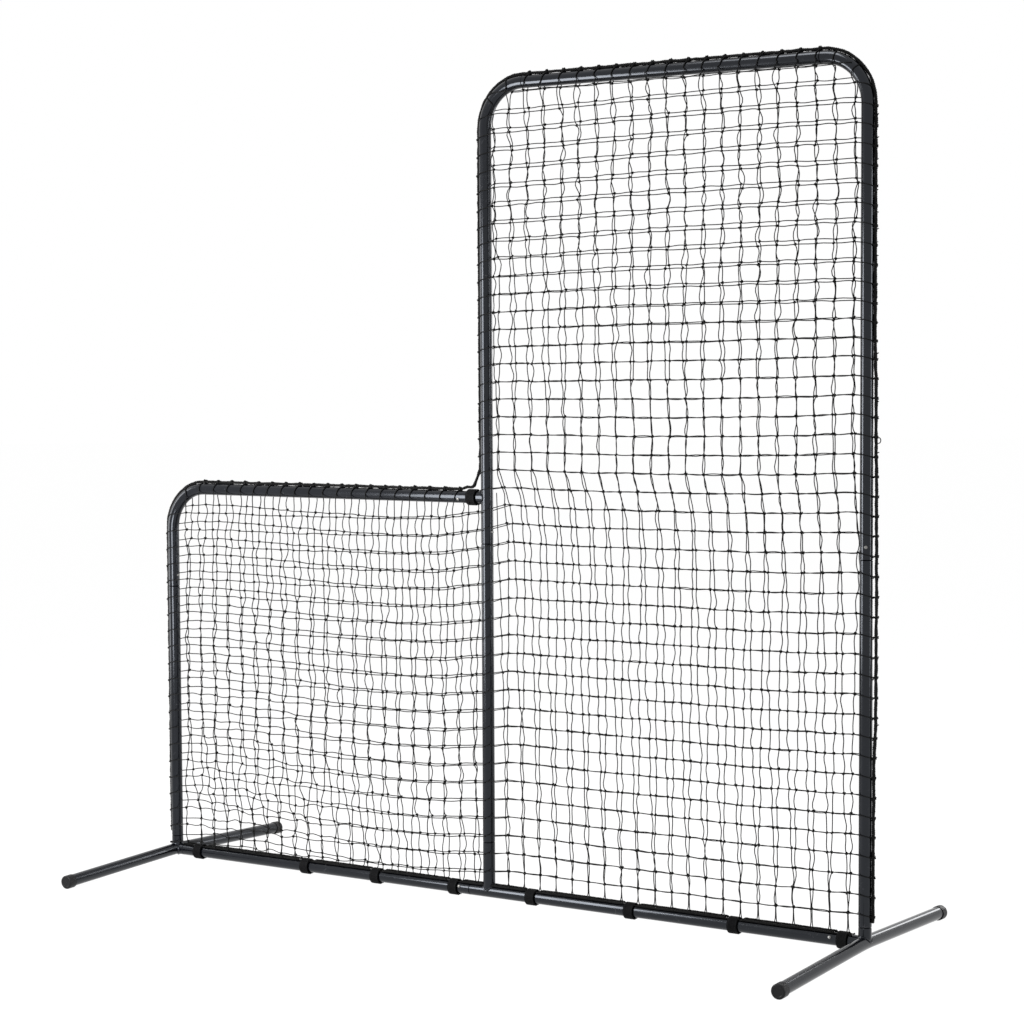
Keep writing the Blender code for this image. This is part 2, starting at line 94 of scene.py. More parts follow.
for name, place, target, width, height, watts in (
        ("front_box", (-0.86, -1.46, 1.12), (0.1, 0, 1.12), 0.66, 1.40, 44),
        ("left_rim_box", (-2.7, -0.70, 1.15), (0, 0, 1.10), 0.60, 1.70, 18),
        ("right_rim_box", (3.2, 0.50, 1.20), (0.6, 0, 1.10), 0.60, 1.70, 27),
        ("back_rim_box", (1.1, 2.5, 1.20), (0, 0, 1.10), 0.50, 1.70, 15),
        ("top_box", (0.2, -0.7, 4.3), (0, 0, 1.0), 1.50, 1.10, 38)):
    lamp = place_thing(name, bpy.data.lights.new(name, "AREA"))
    lamp.data.shape = "RECTANGLE"
    lamp.data.size, lamp.data.size_y, lamp.data.energy = width, height, watts
    lamp.matrix_world = aim(Vector(place), Vector(target) - Vector(place))
    lamp.visible_camera = False


def place_node(tree, kind, inputs=(), **settings):
    """A new node with its settings, and its inputs set to values or joined to other sockets."""
    node = tree.nodes.new(kind)
    for setting, value in settings.items():
        setattr(node, setting, value)
    for socket, value in dict(inputs).items():
        if isinstance(value, bpy.types.NodeSocket):
            tree.links.new(value, node.inputs[socket])
        else:
            node.inputs[socket].default_value = value
    return node


def maths(tree, operation, *values):
    """A number worked out from numbers and other sockets."""
    return place_node(tree, "ShaderNodeMath", enumerate(values), operation=operation).outputs[0]


def ramp(tree, value, low, high, start, end):
    """A number that runs from start to end while the value runs from low to high."""
    return place_node(tree, "ShaderNodeMapRange",
                      enumerate((value, low, high, start, end))).outputs[0]


def seen_ray(tree):
    """1 where the camera, a gloss reflection or clear glass looks at this surface."""
    path = place_node(tree, "ShaderNodeLightPath").outputs
    either = maths(tree, "MAXIMUM", path["Is Camera Ray"], path["Is Glossy Ray"])
    return maths(tree, "MAXIMUM", either, path["Is Transmission Ray"])


studio_air = bpy.data.worlds.new("studio_air")
bpy.context.scene.world = studio_air
studio_air.use_nodes = True
air_tree = studio_air.node_tree
air_tree.nodes.clear()
room_light, room_seen = (place_node(air_tree, "ShaderNodeBackground",
                                    {"Color": (1, 1, 1, 1), "Strength": strength}).outputs[0]
                         for strength in (0.22, 1.0))
room_mix = place_node(air_tree, "ShaderNodeMixShader",
                      {0: seen_ray(air_tree), 1: room_light, 2: room_seen})
place_node(air_tree, "ShaderNodeOutputWorld", {"Surface": room_mix.outputs[0]})


def keep_mesh(work, name):
    """The finished work as a mesh object at the origin."""
    mesh = bpy.data.meshes.new(name)
    work.to_mesh(mesh)
    work.free()
    return place_thing(name, mesh)


floor_work = bmesh.new()
bmesh.ops.create_circle(floor_work, cap_ends=True, segments=96, radius=40)
bmesh.ops.translate(floor_work, vec=(0, 0, -0.0004), verts=floor_work.verts)
studio_floor = keep_mesh(floor_work, "studio_floor")
floor_finish = bpy.data.materials.new("pale_floor")
floor_finish.use_nodes = True
floor_tree = floor_finish.node_tree
floor_tree.nodes.clear()
floor_seen = seen_ray(floor_tree)
floor_matt = place_node(floor_tree, "ShaderNodeBsdfDiffuse",
                        {"Color": ramp(floor_tree, floor_seen, 0, 1, 0.60, 0.14)})
floor_glow = place_node(floor_tree, "ShaderNodeEmission",
                        {"Color": (1, 1, 1, 1),
                         "Strength": ramp(floor_tree, floor_seen, 0, 1, 0, 0.965)})
floor_sum = place_node(floor_tree, "ShaderNodeAddShader",
                       {0: floor_matt.outputs[0], 1: floor_glow.outputs[0]})
place_node(floor_tree, "ShaderNodeOutputMaterial", {"Surface": floor_sum.outputs[0]})
studio_floor.data.materials.append(floor_finish)


# ---- Feet ----
# Each foot is one round steel tube, bent slightly upwards in its middle so that only its ends
# touch the ground. Two short stubs are welded on there, and their ends are drawn down to spigots
# that slide into the bottom rail and the upright. The frame is powder coated black all over.
rail_low, rail_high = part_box("left_bottom_rail")
tube_radius = (rail_high.z - rail_low.z) / 2
tube_wall = 0.0015
tube_sides = 32
spigot_radius = tube_radius - tube_wall - 0.0006
spigot_reach = 0.060
shoulder_gap, shoulder_lip, shoulder_draw = 0.0023, 0.0002, 0.985
spigot_lead_in = 0.001
button_inset, button_radius = 0.030, 0.0040
hole_radius = button_radius + 0.0004
hole_run, hole_start = 0.020, 0.006
socket_chamfer = 0.0004
foot_end_height = 0.0175
weld_rise, weld_radius = 0.0030, 0.0024
rail_z = (rail_high.z + rail_low.z) / 2


def in_plane(x, z):
    """A place in the frame's middle plane."""
    return Vector((x, 0, z))


def middle_of(node):
    """The middle of a CAD node's box."""
    low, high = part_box(node)
    return (low + high) / 2


left_x, right_x = middle_of("left_lower_upright").x, middle_of("right_lower_upright").x
left_hub, middle_hub, right_hub = (in_plane(x, rail_z) for x in (left_x, 0, right_x))


def ring_edges(made):
    """The open ring at the end of what an extrude or a spin has made."""
    verts = {item for item in made if isinstance(item, bmesh.types.BMVert)}
    edges = {edge for vert in verts for edge in vert.link_edges}
    return [edge for edge in edges if edge.verts[0] in verts and edge.verts[1] in verts]


def extrude_ring(work, ring):
    """The ring is copied and joined to its copy; gives the copy's corners and its edges."""
    made = bmesh.ops.extrude_edge_only(work, edges=ring)["geom"]
    return [item for item in made if isinstance(item, bmesh.types.BMVert)], ring_edges(made)


def start_tube(place, direction, radius):
    """A new work mesh with a tube's first ring, square to the direction."""
    work = bmesh.new()
    bmesh.ops.create_circle(work, segments=tube_sides, radius=radius,
                            matrix=facing(place, direction, Y if abs(direction.y) < 0.5 else X))
    return work, work.edges[:]


def draw_on(work, ring, run, widen=1.0):
    """The tube goes on straight by run, and its ring is made wider or narrower there."""
    verts, edges = extrude_ring(work, ring)
    bmesh.ops.translate(work, vec=run, verts=verts)
    middle = sum((vert.co for vert in verts), Vector()) / len(verts)
    bmesh.ops.scale(work, vec=(widen, widen, widen), space=Matrix.Translation(-middle),
                    verts=verts)
    return edges


def bend_on(work, ring, pivot, axis, angle, steps):
    """The tube goes on round a bend."""
    made = bmesh.ops.spin(work, geom=ring, cent=pivot, axis=axis, angle=angle, steps=steps)
    return ring_edges(made["geom_last"])


def draw_runs(work, ring, direction, runs):
    """The tube goes on by several (run, widen) lengths."""
    for run, widen in runs:
        ring = draw_on(work, ring, direction * run, widen)
    return ring


# The tube's end past its shoulder, drawn down so that it slides into the next tube.
spigot_runs = ((shoulder_lip, shoulder_draw), (0.0019, spigot_radius / tube_radius / shoulder_draw),
               (button_inset - hole_run / 2, 1.0), (hole_run, 1.0),
               (spigot_reach - button_inset - hole_run / 2 - spigot_lead_in, 1.0),
               (spigot_lead_in, 0.94))


def drill(piece, holes):
    """Snap button holes through one wall, each given by its middle and the way it faces."""
    work = bmesh.new()
    for place, out in holes:
        bmesh.ops.create_cone(work, cap_ends=True, segments=24, radius1=hole_radius,
                              radius2=hole_radius, depth=tube_radius,
                              matrix=facing(place + out * (tube_radius / 2 + hole_start), out))
    bit = keep_mesh(work, "drill_bit")
    cut = piece.modifiers.new("drilled", "BOOLEAN")
    cut.operation = "DIFFERENCE"
    cut.solver = "EXACT"
    cut.object = bit
    graph = bpy.context.evaluated_depsgraph_get()
    drilled = bpy.data.meshes.new_from_object(piece.evaluated_get(graph))
    piece.modifiers.clear()
    piece.data = drilled
    bpy.data.objects.remove(bit, do_unlink=True)


def finish_tube(work, name, holes=()):
    """The open skin becomes a tube with a wall, and its holes are drilled."""
    bmesh.ops.recalc_face_normals(work, faces=work.faces)
    bmesh.ops.solidify(work, geom=work.faces[:], thickness=tube_wall)
    piece = keep_mesh(work, name)
    if holes:
        drill(piece, holes)
    return piece


def join_pieces(name, pieces, crisp=True):
    """Several meshes as one piece, with smooth faces and, on hard pieces, crisp edges."""
    work = bmesh.new()
    for part in pieces:
        work.from_mesh(part.data)
        bpy.data.objects.remove(part, do_unlink=True)
    joined = keep_mesh(work, name)
    joined.data.shade_smooth()
    if crisp:
        joined.data.set_sharp_from_angle(angle=math.radians(32))
    return joined


def cord_curve(name, lines, radius, sides=6, length=None):
    """Round cords along lines of places or (place, thickness) pairs, with a UV map in metres."""
    curve = bpy.data.curves.new(name, "CURVE")
    curve.dimensions = "3D"
    curve.bevel_depth = radius
    curve.bevel_resolution = sides // 2 - 2
    curve.use_fill_caps = True
    for line in lines:
        points = [point if isinstance(point, tuple) else (point, 1.0) for point in line]
        closed = points[0][0] == points[-1][0]
        if closed:
            points.pop()
        spline = curve.splines.new("POLY")
        spline.points.add(len(points) - 1)
        for point, (place, thickness) in zip(spline.points, points):
            point.co = (*place, 1)
            point.radius = thickness
        spline.use_cyclic_u = closed
    holder = place_thing(name, curve)
    graph = bpy.context.evaluated_depsgraph_get()
    mesh = bpy.data.meshes.new_from_object(holder.evaluated_get(graph))
    bpy.data.objects.remove(holder, do_unlink=True)
    if length:
        corners = mesh.uv_layers[0].data
        flat = [0.0] * (2 * len(corners))
        corners.foreach_get("uv", flat)
        flat[0::2] = [along * length for along in flat[0::2]]
        corners.foreach_set("uv", flat)
    return place_thing(name, mesh)


def weld_bead(name, centre, along, out):
    """A weld that follows the saddle where a stub meets a tube of its own size."""
    side = along.cross(out)
    line = []
    beads = 96
    for step in range(beads + 1):
        turn = 2 * math.pi * (step % beads) / beads
        place = centre + tube_radius * turned_from(along, side, turn)
        place += out * math.hypot(tube_radius * math.cos(turn), weld_rise)
        ripple = 1.0 + 0.13 * math.sin(step * 2 * math.pi / 4) + 0.12 * noise.noise(place * 300)
        line.append((place, ripple))
    return cord_curve(name, [line], weld_radius, 8)


def make_stub(name, hub, length, direction, out):
    """A welded stub that ends in a spigot with its button hole."""
    root = tube_radius * 0.3
    work, ring = start_tube(hub + direction * root, direction, tube_radius)
    ring = draw_on(work, ring, direction * (length - shoulder_gap - root))
    draw_runs(work, ring, direction, spigot_runs)
    return finish_tube(work, name, [(hub + direction * (length + button_inset), out)])


# The buttons are turned aside from straight front or back, to clear the net's edge.
button_turn = math.radians(20)
front_up, back_up = turned_from(-Y, Z, button_turn), turned_from(Y, Z, button_turn)
foot_radius, leg_shares = 1.2, (0.03, 0.47, 0.5)
foot_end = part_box("left_foot")[1].y
foot_slope = math.atan2(rail_z - foot_end_height, foot_end)
upright_stub_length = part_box("left_lower_upright")[0].z - rail_z


def make_foot_tube(name, hub):
    """The foot's own tube: two straight legs that rise to a long soft bend."""
    half_bend = foot_radius * math.sin(foot_slope)
    rise = turned_from(Y, Z, foot_slope)
    fall = Vector((0, rise.y, -rise.z))
    bend_start = hub + Vector((0, -half_bend, -foot_radius * (1 - math.cos(foot_slope))))
    leg = (foot_end - half_bend) / rise.y
    work, ring = start_tube(bend_start - rise * leg, rise, tube_radius)
    for share in leg_shares:
        ring = draw_on(work, ring, rise * leg * share)
    ring = bend_on(work, ring, hub - Z * foot_radius, -X, foot_slope * 2, 8)
    for share in reversed(leg_shares):
        ring = draw_on(work, ring, fall * leg * share)
    return finish_tube(work, name)


def new_group(name, inputs, outputs):
    """A node group's tree, the sockets that come into it and those that go out of it."""
    tree = bpy.data.node_groups.new(name, "ShaderNodeTree")
    for socket, kind in inputs.items():
        tree.interface.new_socket(socket, in_out="INPUT", socket_type="NodeSocket" + kind)
    for socket in outputs:
        tree.interface.new_socket(socket, in_out="OUTPUT", socket_type="NodeSocketFloat")
    return (tree, tree.nodes.new("NodeGroupInput").outputs,
            tree.nodes.new("NodeGroupOutput").inputs)


# Dust that has settled in soft patches, and short rubbed scuffs, as two masks.
dust_group, dust_in, dust_out = new_group(
    "dust_and_scuffs", {"Place": "Vector", "Patch Size": "Float", "Scuff Size": "Float"},
    ("Dust", "Scuff"))
patches = place_node(dust_group, "ShaderNodeTexNoise", {
    "Vector": dust_in["Place"], "Scale": dust_in["Patch Size"], "Detail": 6.0,
    "Roughness": 0.62}).outputs[0]
rubs = place_node(dust_group, "ShaderNodeTexNoise", {
    "Vector": dust_in["Place"], "Scale": dust_in["Scuff Size"], "Detail": 4.0,
    "Distortion": 1.4}).outputs[0]
dust_group.links.new(ramp(dust_group, patches, 0.45, 0.75, 0, 1), dust_out["Dust"])
dust_group.links.new(ramp(dust_group, rubs, 0.66, 0.76, 0, 1), dust_out["Scuff"])

# The fine unevenness of a sprayed or moulded skin, as a height.
skin_group, skin_in, skin_out = new_group(
    "orange_peel", {"Place": "Vector", "Grain Size": "Float", "Wave Size": "Float"}, ("Height",))
peel, swell = (place_node(skin_group, "ShaderNodeTexNoise", {
    "Vector": skin_in["Place"], "Scale": skin_in[size], "Detail": detail}).outputs[0]
               for size, detail in (("Grain Size", 2.0), ("Wave Size", 1.0)))
skin_group.links.new(maths(skin_group, "ADD", peel, swell), skin_out["Height"])


def new_finish(name, **constants):
    """A material with its Principled shader, the shader's constants and the place on the piece."""
    finish = bpy.data.materials.new(name)
    finish.use_nodes = True
    tree = finish.node_tree
    shader = tree.nodes["Principled BSDF"]
    for socket, value in constants.items():
        shader.inputs[socket.replace("_", " ")].default_value = value
    return finish, tree, shader, place_node(tree, "ShaderNodeTexCoord").outputs


def use_group(tree, group, inputs):
    """What comes out of one of the shared node groups, placed in a material."""
    return place_node(tree, "ShaderNodeGroup", inputs, node_tree=group).outputs


def find_marks(tree, place, patch_size, scuff_size):
    """The dust and scuff masks of a material."""
    return use_group(tree, dust_group, {"Place": place["Object"], "Patch Size": patch_size,
                                        "Scuff Size": scuff_size})


def blend_colours(tree, mask, first, second):
    """One colour turning to another by a mask."""
    first, second = (colour if isinstance(colour, bpy.types.NodeSocket) else (*colour, 1)
                     for colour in (first, second))
    return place_node(tree, "ShaderNodeMix", {0: mask, 6: first, 7: second},
                      data_type="RGBA").outputs[2]


def dress_shader(tree, shader, colour, roughness, height, depth, distance):
    """The shader gets its colour, its roughness and a height that only tips its shading."""
    bump = place_node(tree, "ShaderNodeBump", {"Height": height, "Strength": depth,
                                               "Distance": distance})
    for socket, value in (("Base Color", colour), ("Roughness", roughness),
                          ("Normal", bump.outputs[0])):
        tree.links.new(value, shader.inputs[socket])


def hard_finish(name, marks, grain, colours, roughness, bump, **constants):
    """A sprayed, moulded or plated skin: clean, dusty and rubbed colours, and fine grain."""
    finish, tree, shader, place = new_finish(name, **constants)
    dust, scuff = find_marks(tree, place, *marks)
    skin = use_group(tree, skin_group, {"Place": place["Object"], "Grain Size": grain[0],
                                        "Wave Size": grain[1]})
    clean, dusty, rubbed = colours
    colour = blend_colours(tree, scuff, blend_colours(tree, dust, clean, dusty), rubbed)
    dress_shader(tree, shader, colour, ramp(tree, dust, 0, 1, *roughness), skin[0], *bump)
    return finish


# Black powder coat on steel: near black with a little blue, half gloss, fine orange peel, and
# grey dust with a few dull rubs.
coated_steel = hard_finish(
    "black_powder_coat", (7.0, 85.0), (620.0, 90.0),
    ((0.0010, 0.0011, 0.0022), (0.0032, 0.0034, 0.0050), (0.040, 0.040, 0.043)), (0.15, 0.24),
    (0.06, 0.0003), IOR=1.5, Specular_IOR_Level=0.40, Specular_Tint=(0.84, 0.90, 1.0, 1.0))


def fit_piece(piece, finish, slot, body, *nodes):
    """The piece gets its finish, rides on its body and stands for its CAD nodes."""
    piece.data.materials.clear()
    piece.data.materials.append(finish)
    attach(piece, body)
    if nodes:
        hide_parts(*nodes)


for side_name, hub, inward, rail_out, rail_stub_length in (
        ("left", left_hub, X, back_up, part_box("left_bottom_rail")[0].x - left_x),
        ("right", right_hub, -X, front_up, right_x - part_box("right_bottom_rail")[1].x)):
    foot = join_pieces(f"{side_name}_foot_tube", [
        make_foot_tube("leg", hub),
        make_stub("rail_stub", hub, rail_stub_length, inward, rail_out),
        make_stub("upright_stub", hub, upright_stub_length, Z, inward),
        weld_bead("rail_weld", hub, Y, inward),
        weld_bead("upright_weld", hub, Y, Z)])
    fit_piece(foot, coated_steel, "coated_steel", "frame", f"{side_name}_foot")


# ---- Foot caps ----
# Four black plastic cups are pushed over the ends of the feet. They are injection moulded, with
# a rounded front edge, and the side that stands on the ground is worn to a small flat.
cap_low, cap_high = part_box("left_foot_front_cap")
cap_radius = (cap_high.x - cap_low.x) / 2
cap_bore = tube_radius + 0.0003
cap_sleeve, cap_end, cap_round, cap_seat = 0.022, 0.0030, 0.0034, 0.0003
cap_bevel, cap_dish = 0.0006, 0.0005
cap_lip = cap_radius - cap_bevel
cap_face = cap_radius - cap_round


def turn_profile(work, points, steps):
    """A shape turned about Z from (radius, height) points."""
    verts = [work.verts.new((radius, 0, height)) for radius, height in points]
    edges = [work.edges.new(pair) for pair in zip(verts, verts[1:])]
    bmesh.ops.spin(work, geom=verts + edges, cent=(0, 0, 0), axis=(0, 0, 1),
                   angle=2 * math.pi, steps=steps, use_merge=True)
    bmesh.ops.remove_doubles(work, verts=work.verts, dist=0.000002)
    bmesh.ops.recalc_face_normals(work, faces=work.faces)


def arc_points(centre, radius, first, last, steps):
    """Points of an arc, as pairs."""
    angles = [first + (last - first) * step / steps for step in range(steps + 1)]
    return [(centre[0] + radius * math.cos(angle), centre[1] + radius * math.sin(angle))
            for angle in angles]


cap_finish = hard_finish(
    "black_cap_plastic", (26.0, 170.0), (1500.0, 240.0),
    ((0.007, 0.007, 0.008), (0.015, 0.015, 0.016), (0.07, 0.07, 0.07)), (0.42, 0.62),
    (0.35, 0.0002), IOR=1.46, Specular_IOR_Level=0.25)
cap_outline = [(0, 0), (cap_bore, 0), (cap_bore, -cap_sleeve), (cap_lip, -cap_sleeve),
               (cap_radius, -cap_sleeve + cap_bevel), (cap_radius, -0.006)]
cap_outline += arc_points((cap_face, cap_end - cap_round), cap_round, 0, math.pi / 2, 6)
cap_outline += [(cap_face - 0.0030, cap_end), (cap_face - 0.0038, cap_end - cap_dish),
                (0, cap_end - cap_dish)]

for side_name, hub in (("left", left_hub), ("right", right_hub)):
    for end_name, way in (("front", -1), ("back", 1)):
        node = f"{side_name}_foot_{end_name}_cap"
        outward = turned_from(Y * way, -Z, foot_slope)
        seat = Vector((hub.x, way * (foot_end - 0.0006), foot_end_height)) + outward * cap_seat
        work = bmesh.new()
        turn_profile(work, cap_outline, 48)
        bmesh.ops.transform(work, matrix=facing(seat, outward, X), verts=work.verts)
        bmesh.ops.bisect_plane(work, geom=work.verts[:] + work.edges[:] + work.faces[:],
                               plane_co=(0, 0, 0), plane_no=(0, 0, -1), clear_outer=True)
        bmesh.ops.holes_fill(work, edges=[edge for edge in work.edges if edge.is_boundary])
        cap = join_pieces(f"{side_name}_{end_name}_foot_cap", [keep_mesh(work, "cap_cup")])
        fit_piece(cap, cap_finish, "cap_plastic", "frame", node)


# ---- Uprights and rails ----
# Straight and bent lengths of the same coated steel tube. Each is cut square, and where it meets
# the next its end is drawn down to a spigot or stays open as a socket. The tee and the notch stub
# are welded on square. A thin ring of shadow shows at every push-fit joint.
low_rail_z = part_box("low_corner_tube")[1].z - tube_radius
top_z = middle_of("top_rail").z
bend_radius = 0.114
socket_run = button_inset + hole_run / 2
notch_hub = in_plane(0, low_rail_z)
notch_out = turned_from(-Y, -Z, button_turn)
right_side_front = turned_from(-Y, X, button_turn)
# Every push-fit joint: where the outer tube's edge is, and the ways its spigot and its button
# point.
joints = {
    "left_foot_upright": (in_plane(left_x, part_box("left_lower_upright")[0].z), Z, X),
    "left_foot_rail": (in_plane(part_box("left_bottom_rail")[0].x, rail_z), X, back_up),
    "right_foot_upright": (in_plane(right_x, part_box("right_lower_upright")[0].z), Z, -X),
    "right_foot_rail": (in_plane(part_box("right_bottom_rail")[1].x, rail_z), -X, front_up),
    "left_upright": (in_plane(left_x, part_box("low_corner_tube")[0].z), Z, X),
    "middle_upright": (in_plane(0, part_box("notch_upright")[0].z), Z, X),
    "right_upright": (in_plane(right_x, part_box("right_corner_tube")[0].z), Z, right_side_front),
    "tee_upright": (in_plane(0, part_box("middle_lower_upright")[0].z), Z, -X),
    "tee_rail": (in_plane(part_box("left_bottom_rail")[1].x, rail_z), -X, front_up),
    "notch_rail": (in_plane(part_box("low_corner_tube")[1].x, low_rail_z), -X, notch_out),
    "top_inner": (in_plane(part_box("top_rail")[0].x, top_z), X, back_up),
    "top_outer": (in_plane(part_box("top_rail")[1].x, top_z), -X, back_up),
}
mouth_radius = tube_radius - socket_chamfer
socket_runs = ((socket_chamfer, tube_radius / mouth_radius),
               (button_inset - hole_run / 2 - socket_chamfer, 1.0), (hole_run, 1.0))


def draw_to(work, ring, start, end, steps):
    """The tube goes on straight from one place to another."""
    for _ in range(steps):
        ring = draw_on(work, ring, (end - start) / steps)
    return ring


def make_frame_tube(first, way, last, steps, corner=None, last_way=None, last_steps=1,
                    open_end=False):
    """A tube from the socket at one joint, maybe round a corner, to the last joint's spigot or to
    an open end over it."""
    start, end = joints[first][0], joints[last][0]
    work, ring = start_tube(start, way, mouth_radius)
    ring = draw_runs(work, ring, way, socket_runs)
    holes = [(start + way * button_inset, joints[first][2])]
    here = start + way * socket_run
    if corner:
        bend_start = corner - way * bend_radius
        ring = draw_to(work, ring, here, bend_start, steps)
        ring = bend_on(work, ring, bend_start + last_way * bend_radius, way.cross(last_way),
                       math.pi / 2, 14)
        here, way, steps = corner + last_way * bend_radius, last_way, last_steps
    if open_end:
        ring = draw_to(work, ring, here, end - way * socket_run, steps)
        draw_runs(work, ring, way, [(run, 1 / widen) for run, widen in reversed(socket_runs)])
        holes.append((end - way * button_inset, joints[last][2]))
    else:
        ring = draw_to(work, ring, here, end - way * shoulder_gap, steps)
        draw_runs(work, ring, way, spigot_runs)
        holes.append((end + way * button_inset, joints[last][2]))
    return finish_tube(work, "tube", holes)


frame_tubes = {
    "left_lower_upright": [make_frame_tube("left_foot_upright", Z, "left_upright", 4)],
    "middle_lower_upright": [make_frame_tube("tee_upright", Z, "middle_upright", 4)],
    "right_lower_upright": [make_frame_tube("right_foot_upright", Z, "right_upright", 4)],
    "low_corner_tube": [make_frame_tube("left_upright", Z, "notch_rail", 1,
                                        in_plane(left_x, low_rail_z), X, 4, open_end=True)],
    "notch_upright": [
        make_frame_tube("middle_upright", Z, "top_inner", 5, in_plane(0, top_z), X),
        make_stub("notch_stub", notch_hub, -joints["notch_rail"][0].x, -X, notch_out),
        weld_bead("notch_weld", notch_hub, Z, -X)],
    "top_rail": [make_frame_tube("top_inner", X, "top_outer", 4, open_end=True)],
    "right_corner_tube": [
        make_frame_tube("right_upright", Z, "top_outer", 5, in_plane(right_x, top_z), -X)],
    "left_bottom_rail": [make_frame_tube("left_foot_rail", X, "tee_rail", 4, open_end=True)],
    "right_bottom_rail": [
        make_frame_tube("right_foot_rail", -X, "tee_rail", 5),
        make_stub("tee_stub", middle_hub, joints["tee_upright"][0].z - rail_z, Z, -X),
        weld_bead("tee_weld", middle_hub, X, Z)],
}
for node, tubes in frame_tubes.items():
    fit_piece(join_pieces(node + "_steel", tubes), coated_steel, "coated_steel", "frame", node)


# ---- Snap buttons ----
# A zinc plated button with a domed top is riveted to a bent leaf of spring steel inside every
# spigot. It stands out through the holes of both tubes and locks them together.
spigot_bore = spigot_radius - tube_wall
leaf_high = spigot_bore - 0.0015
leaf_thickness, leaf_width = 0.0008, 0.0088
leaf_start, leaf_under, leaf_length, leaf_return = 0.006, 0.020, 0.034, 0.024
button_travel = 0.0048
button_stand_out, dome_radius, rivet_radius = 0.0030, 0.0075, 0.0018

zinc_finish = hard_finish(
    "zinc_plated_steel", (120.0, 700.0), (2600.0, 500.0),
    ((0.22, 0.22, 0.215), (0.15, 0.145, 0.13), (0.34, 0.335, 0.32)), (0.40, 0.60),
    (0.3, 0.0001), Metallic=1.0)


def make_snap_button(name, edge, direction, out):
    """A button and its leaf, with the spigot's direction along local X and out along local Z."""
    work = bmesh.new()
    top = tube_radius + button_stand_out
    dome = [(0, top)] + arc_points((0, top - dome_radius), dome_radius, math.radians(88),
                                   math.radians(66), 5)
    shoulder_z = dome[-1][1] - 0.0004
    outline = dome + [(button_radius - 0.0002, shoulder_z), (button_radius, shoulder_z - 0.0006),
                      (button_radius, leaf_high), (button_radius - 0.0015, leaf_high - 0.0008),
                      (rivet_radius, leaf_high - 0.0016), (0, leaf_high - 0.0016)]
    turn_profile(work, outline, 28)
    start = [work.verts.new((leaf_start, y, leaf_high)) for y in (-leaf_width / 2, leaf_width / 2)]
    strip = [work.edges.new(start)]
    for run in (leaf_start, leaf_under, leaf_length - leaf_under):
        strip = draw_on(work, strip, -X * run)
    strip = ring_edges(bmesh.ops.spin(work, geom=strip, cent=(-leaf_length, 0, button_travel / 2),
                                      axis=(0, 1, 0), angle=-math.pi, steps=10)["geom_last"])
    draw_on(work, strip, X * leaf_return)
    leaf_faces = [face for face in work.faces if len(face.verts) == 4 and
                  all(abs(abs(vert.co.y) - leaf_width / 2) < 0.00001 for vert in face.verts)]
    bmesh.ops.recalc_face_normals(work, faces=leaf_faces)
    bmesh.ops.solidify(work, geom=leaf_faces, thickness=leaf_thickness)
    centre = edge + direction * button_inset
    bmesh.ops.transform(work, matrix=facing(centre, out, direction), verts=work.verts)
    return join_pieces(name, [keep_mesh(work, "snap_button")])


for joint, (edge, direction, out) in joints.items():
    snap = make_snap_button(joint + "_snap", edge, direction, out)
    fit_piece(snap, zinc_finish, "spring_steel", joint + "_button", joint + "_button")


# ---- Net ----
# A sleeve of two layers of square mesh, knotted from black twine, slips over the frame. Its rows
# wrap round the uprights and its columns round the rails, and both are tied to the seam rope
# outside them. It hangs a little slack, so the two layers drift against each other.
twine_radius = 0.00136
layer_offset = tube_radius + twine_radius + 0.0003
knot_size = 0.0025
columns_across = 20
tall_rows, low_rows = 44, 21
rows_in = {"tall": tall_rows, "low": low_rows}
low_first_row, low_row_gap = 0.0715, 0.04665
tall_first_row, lower_row_gap, upper_row_gap, gap_change_row = 0.0920, 0.04755, 0.04633, 19
top_row_z, row_lean = 2.0965, 0.0034
hem_angle = math.radians(62)
frame_bends = {
    "low": ((left_x + bend_radius, low_rail_z - bend_radius, -1),),
    "tall": ((bend_radius, top_z - bend_radius, -1),
             (right_x - bend_radius, top_z - bend_radius, 1))}
# How far a row or column has climbed outside the tube that it wraps round, and at its front.
left_wrap, middle_wrap, right_wrap, top_wrap = (
    (-0.015, -0.007), (-0.013, -0.006), (-0.009, -0.003), (0.010, 0.003))
row_slack, loose_row_slack, wrap_slack = 0.0014, 0.0022, 0.0004
column_slack, high_column_slack, low_column_slack, end_slack = 0.0034, 0.0026, 0.0048, 0.0050


def metres(table):
    """A table of millimetres in metres."""
    return tuple(tuple(value / 1000 for value in row) for row in table)


# Height, then where the first, a middle and the last column hang, in the front layer and then in
# the back one. The middle one is the tenth in the tall half and the eleventh in the low half.
# The numbers inside metres() are millimetres.
tall_hang = metres((
    (60, 70, 507, 1032, 100, 536, 1064), (110, 70, 507, 1032, 97, 533, 1061),
    (200, 72, 507, 1036, 89, 529, 1059), (330, 68, 509, 1037, 89, 521, 1053),
    (480, 71, 510, 1043, 87, 519, 1049), (620, 74, 510, 1045, 80, 511, 1047),
    (770, 76, 514, 1048, 79, 512, 1047), (920, 77, 517, 1055, 73, 507, 1042),
    (1020, 69, 514, 1052, 64, 502, 1036), (1080, 61, 509, 1047, 47, 491, 1031),
    (1130, 44, 496, 1039, 25, 476, 1028), (1240, 46, 499, 1036, 24, 479, 1027),
    (1320, 42, 494, 1038, 27, 476, 1025), (1420, 35, 486, 1038, 29, 478, 1026),
    (1610, 37, 487, 1041, 30, 476, 1026), (1710, 33, 489, 1044, 23, 474, 1028),
    (1810, 33, 495, 1046, 17, 475, 1030), (1900, 37, 492, 1042, 13, 472, 1026),
    (1980, 39, 498, 1043, 15, 478, 1027), (2070, 28, 487, 1037, 16, 473, 1025),
    (2130, 24, 484, 1035, 18, 470, 1027)))
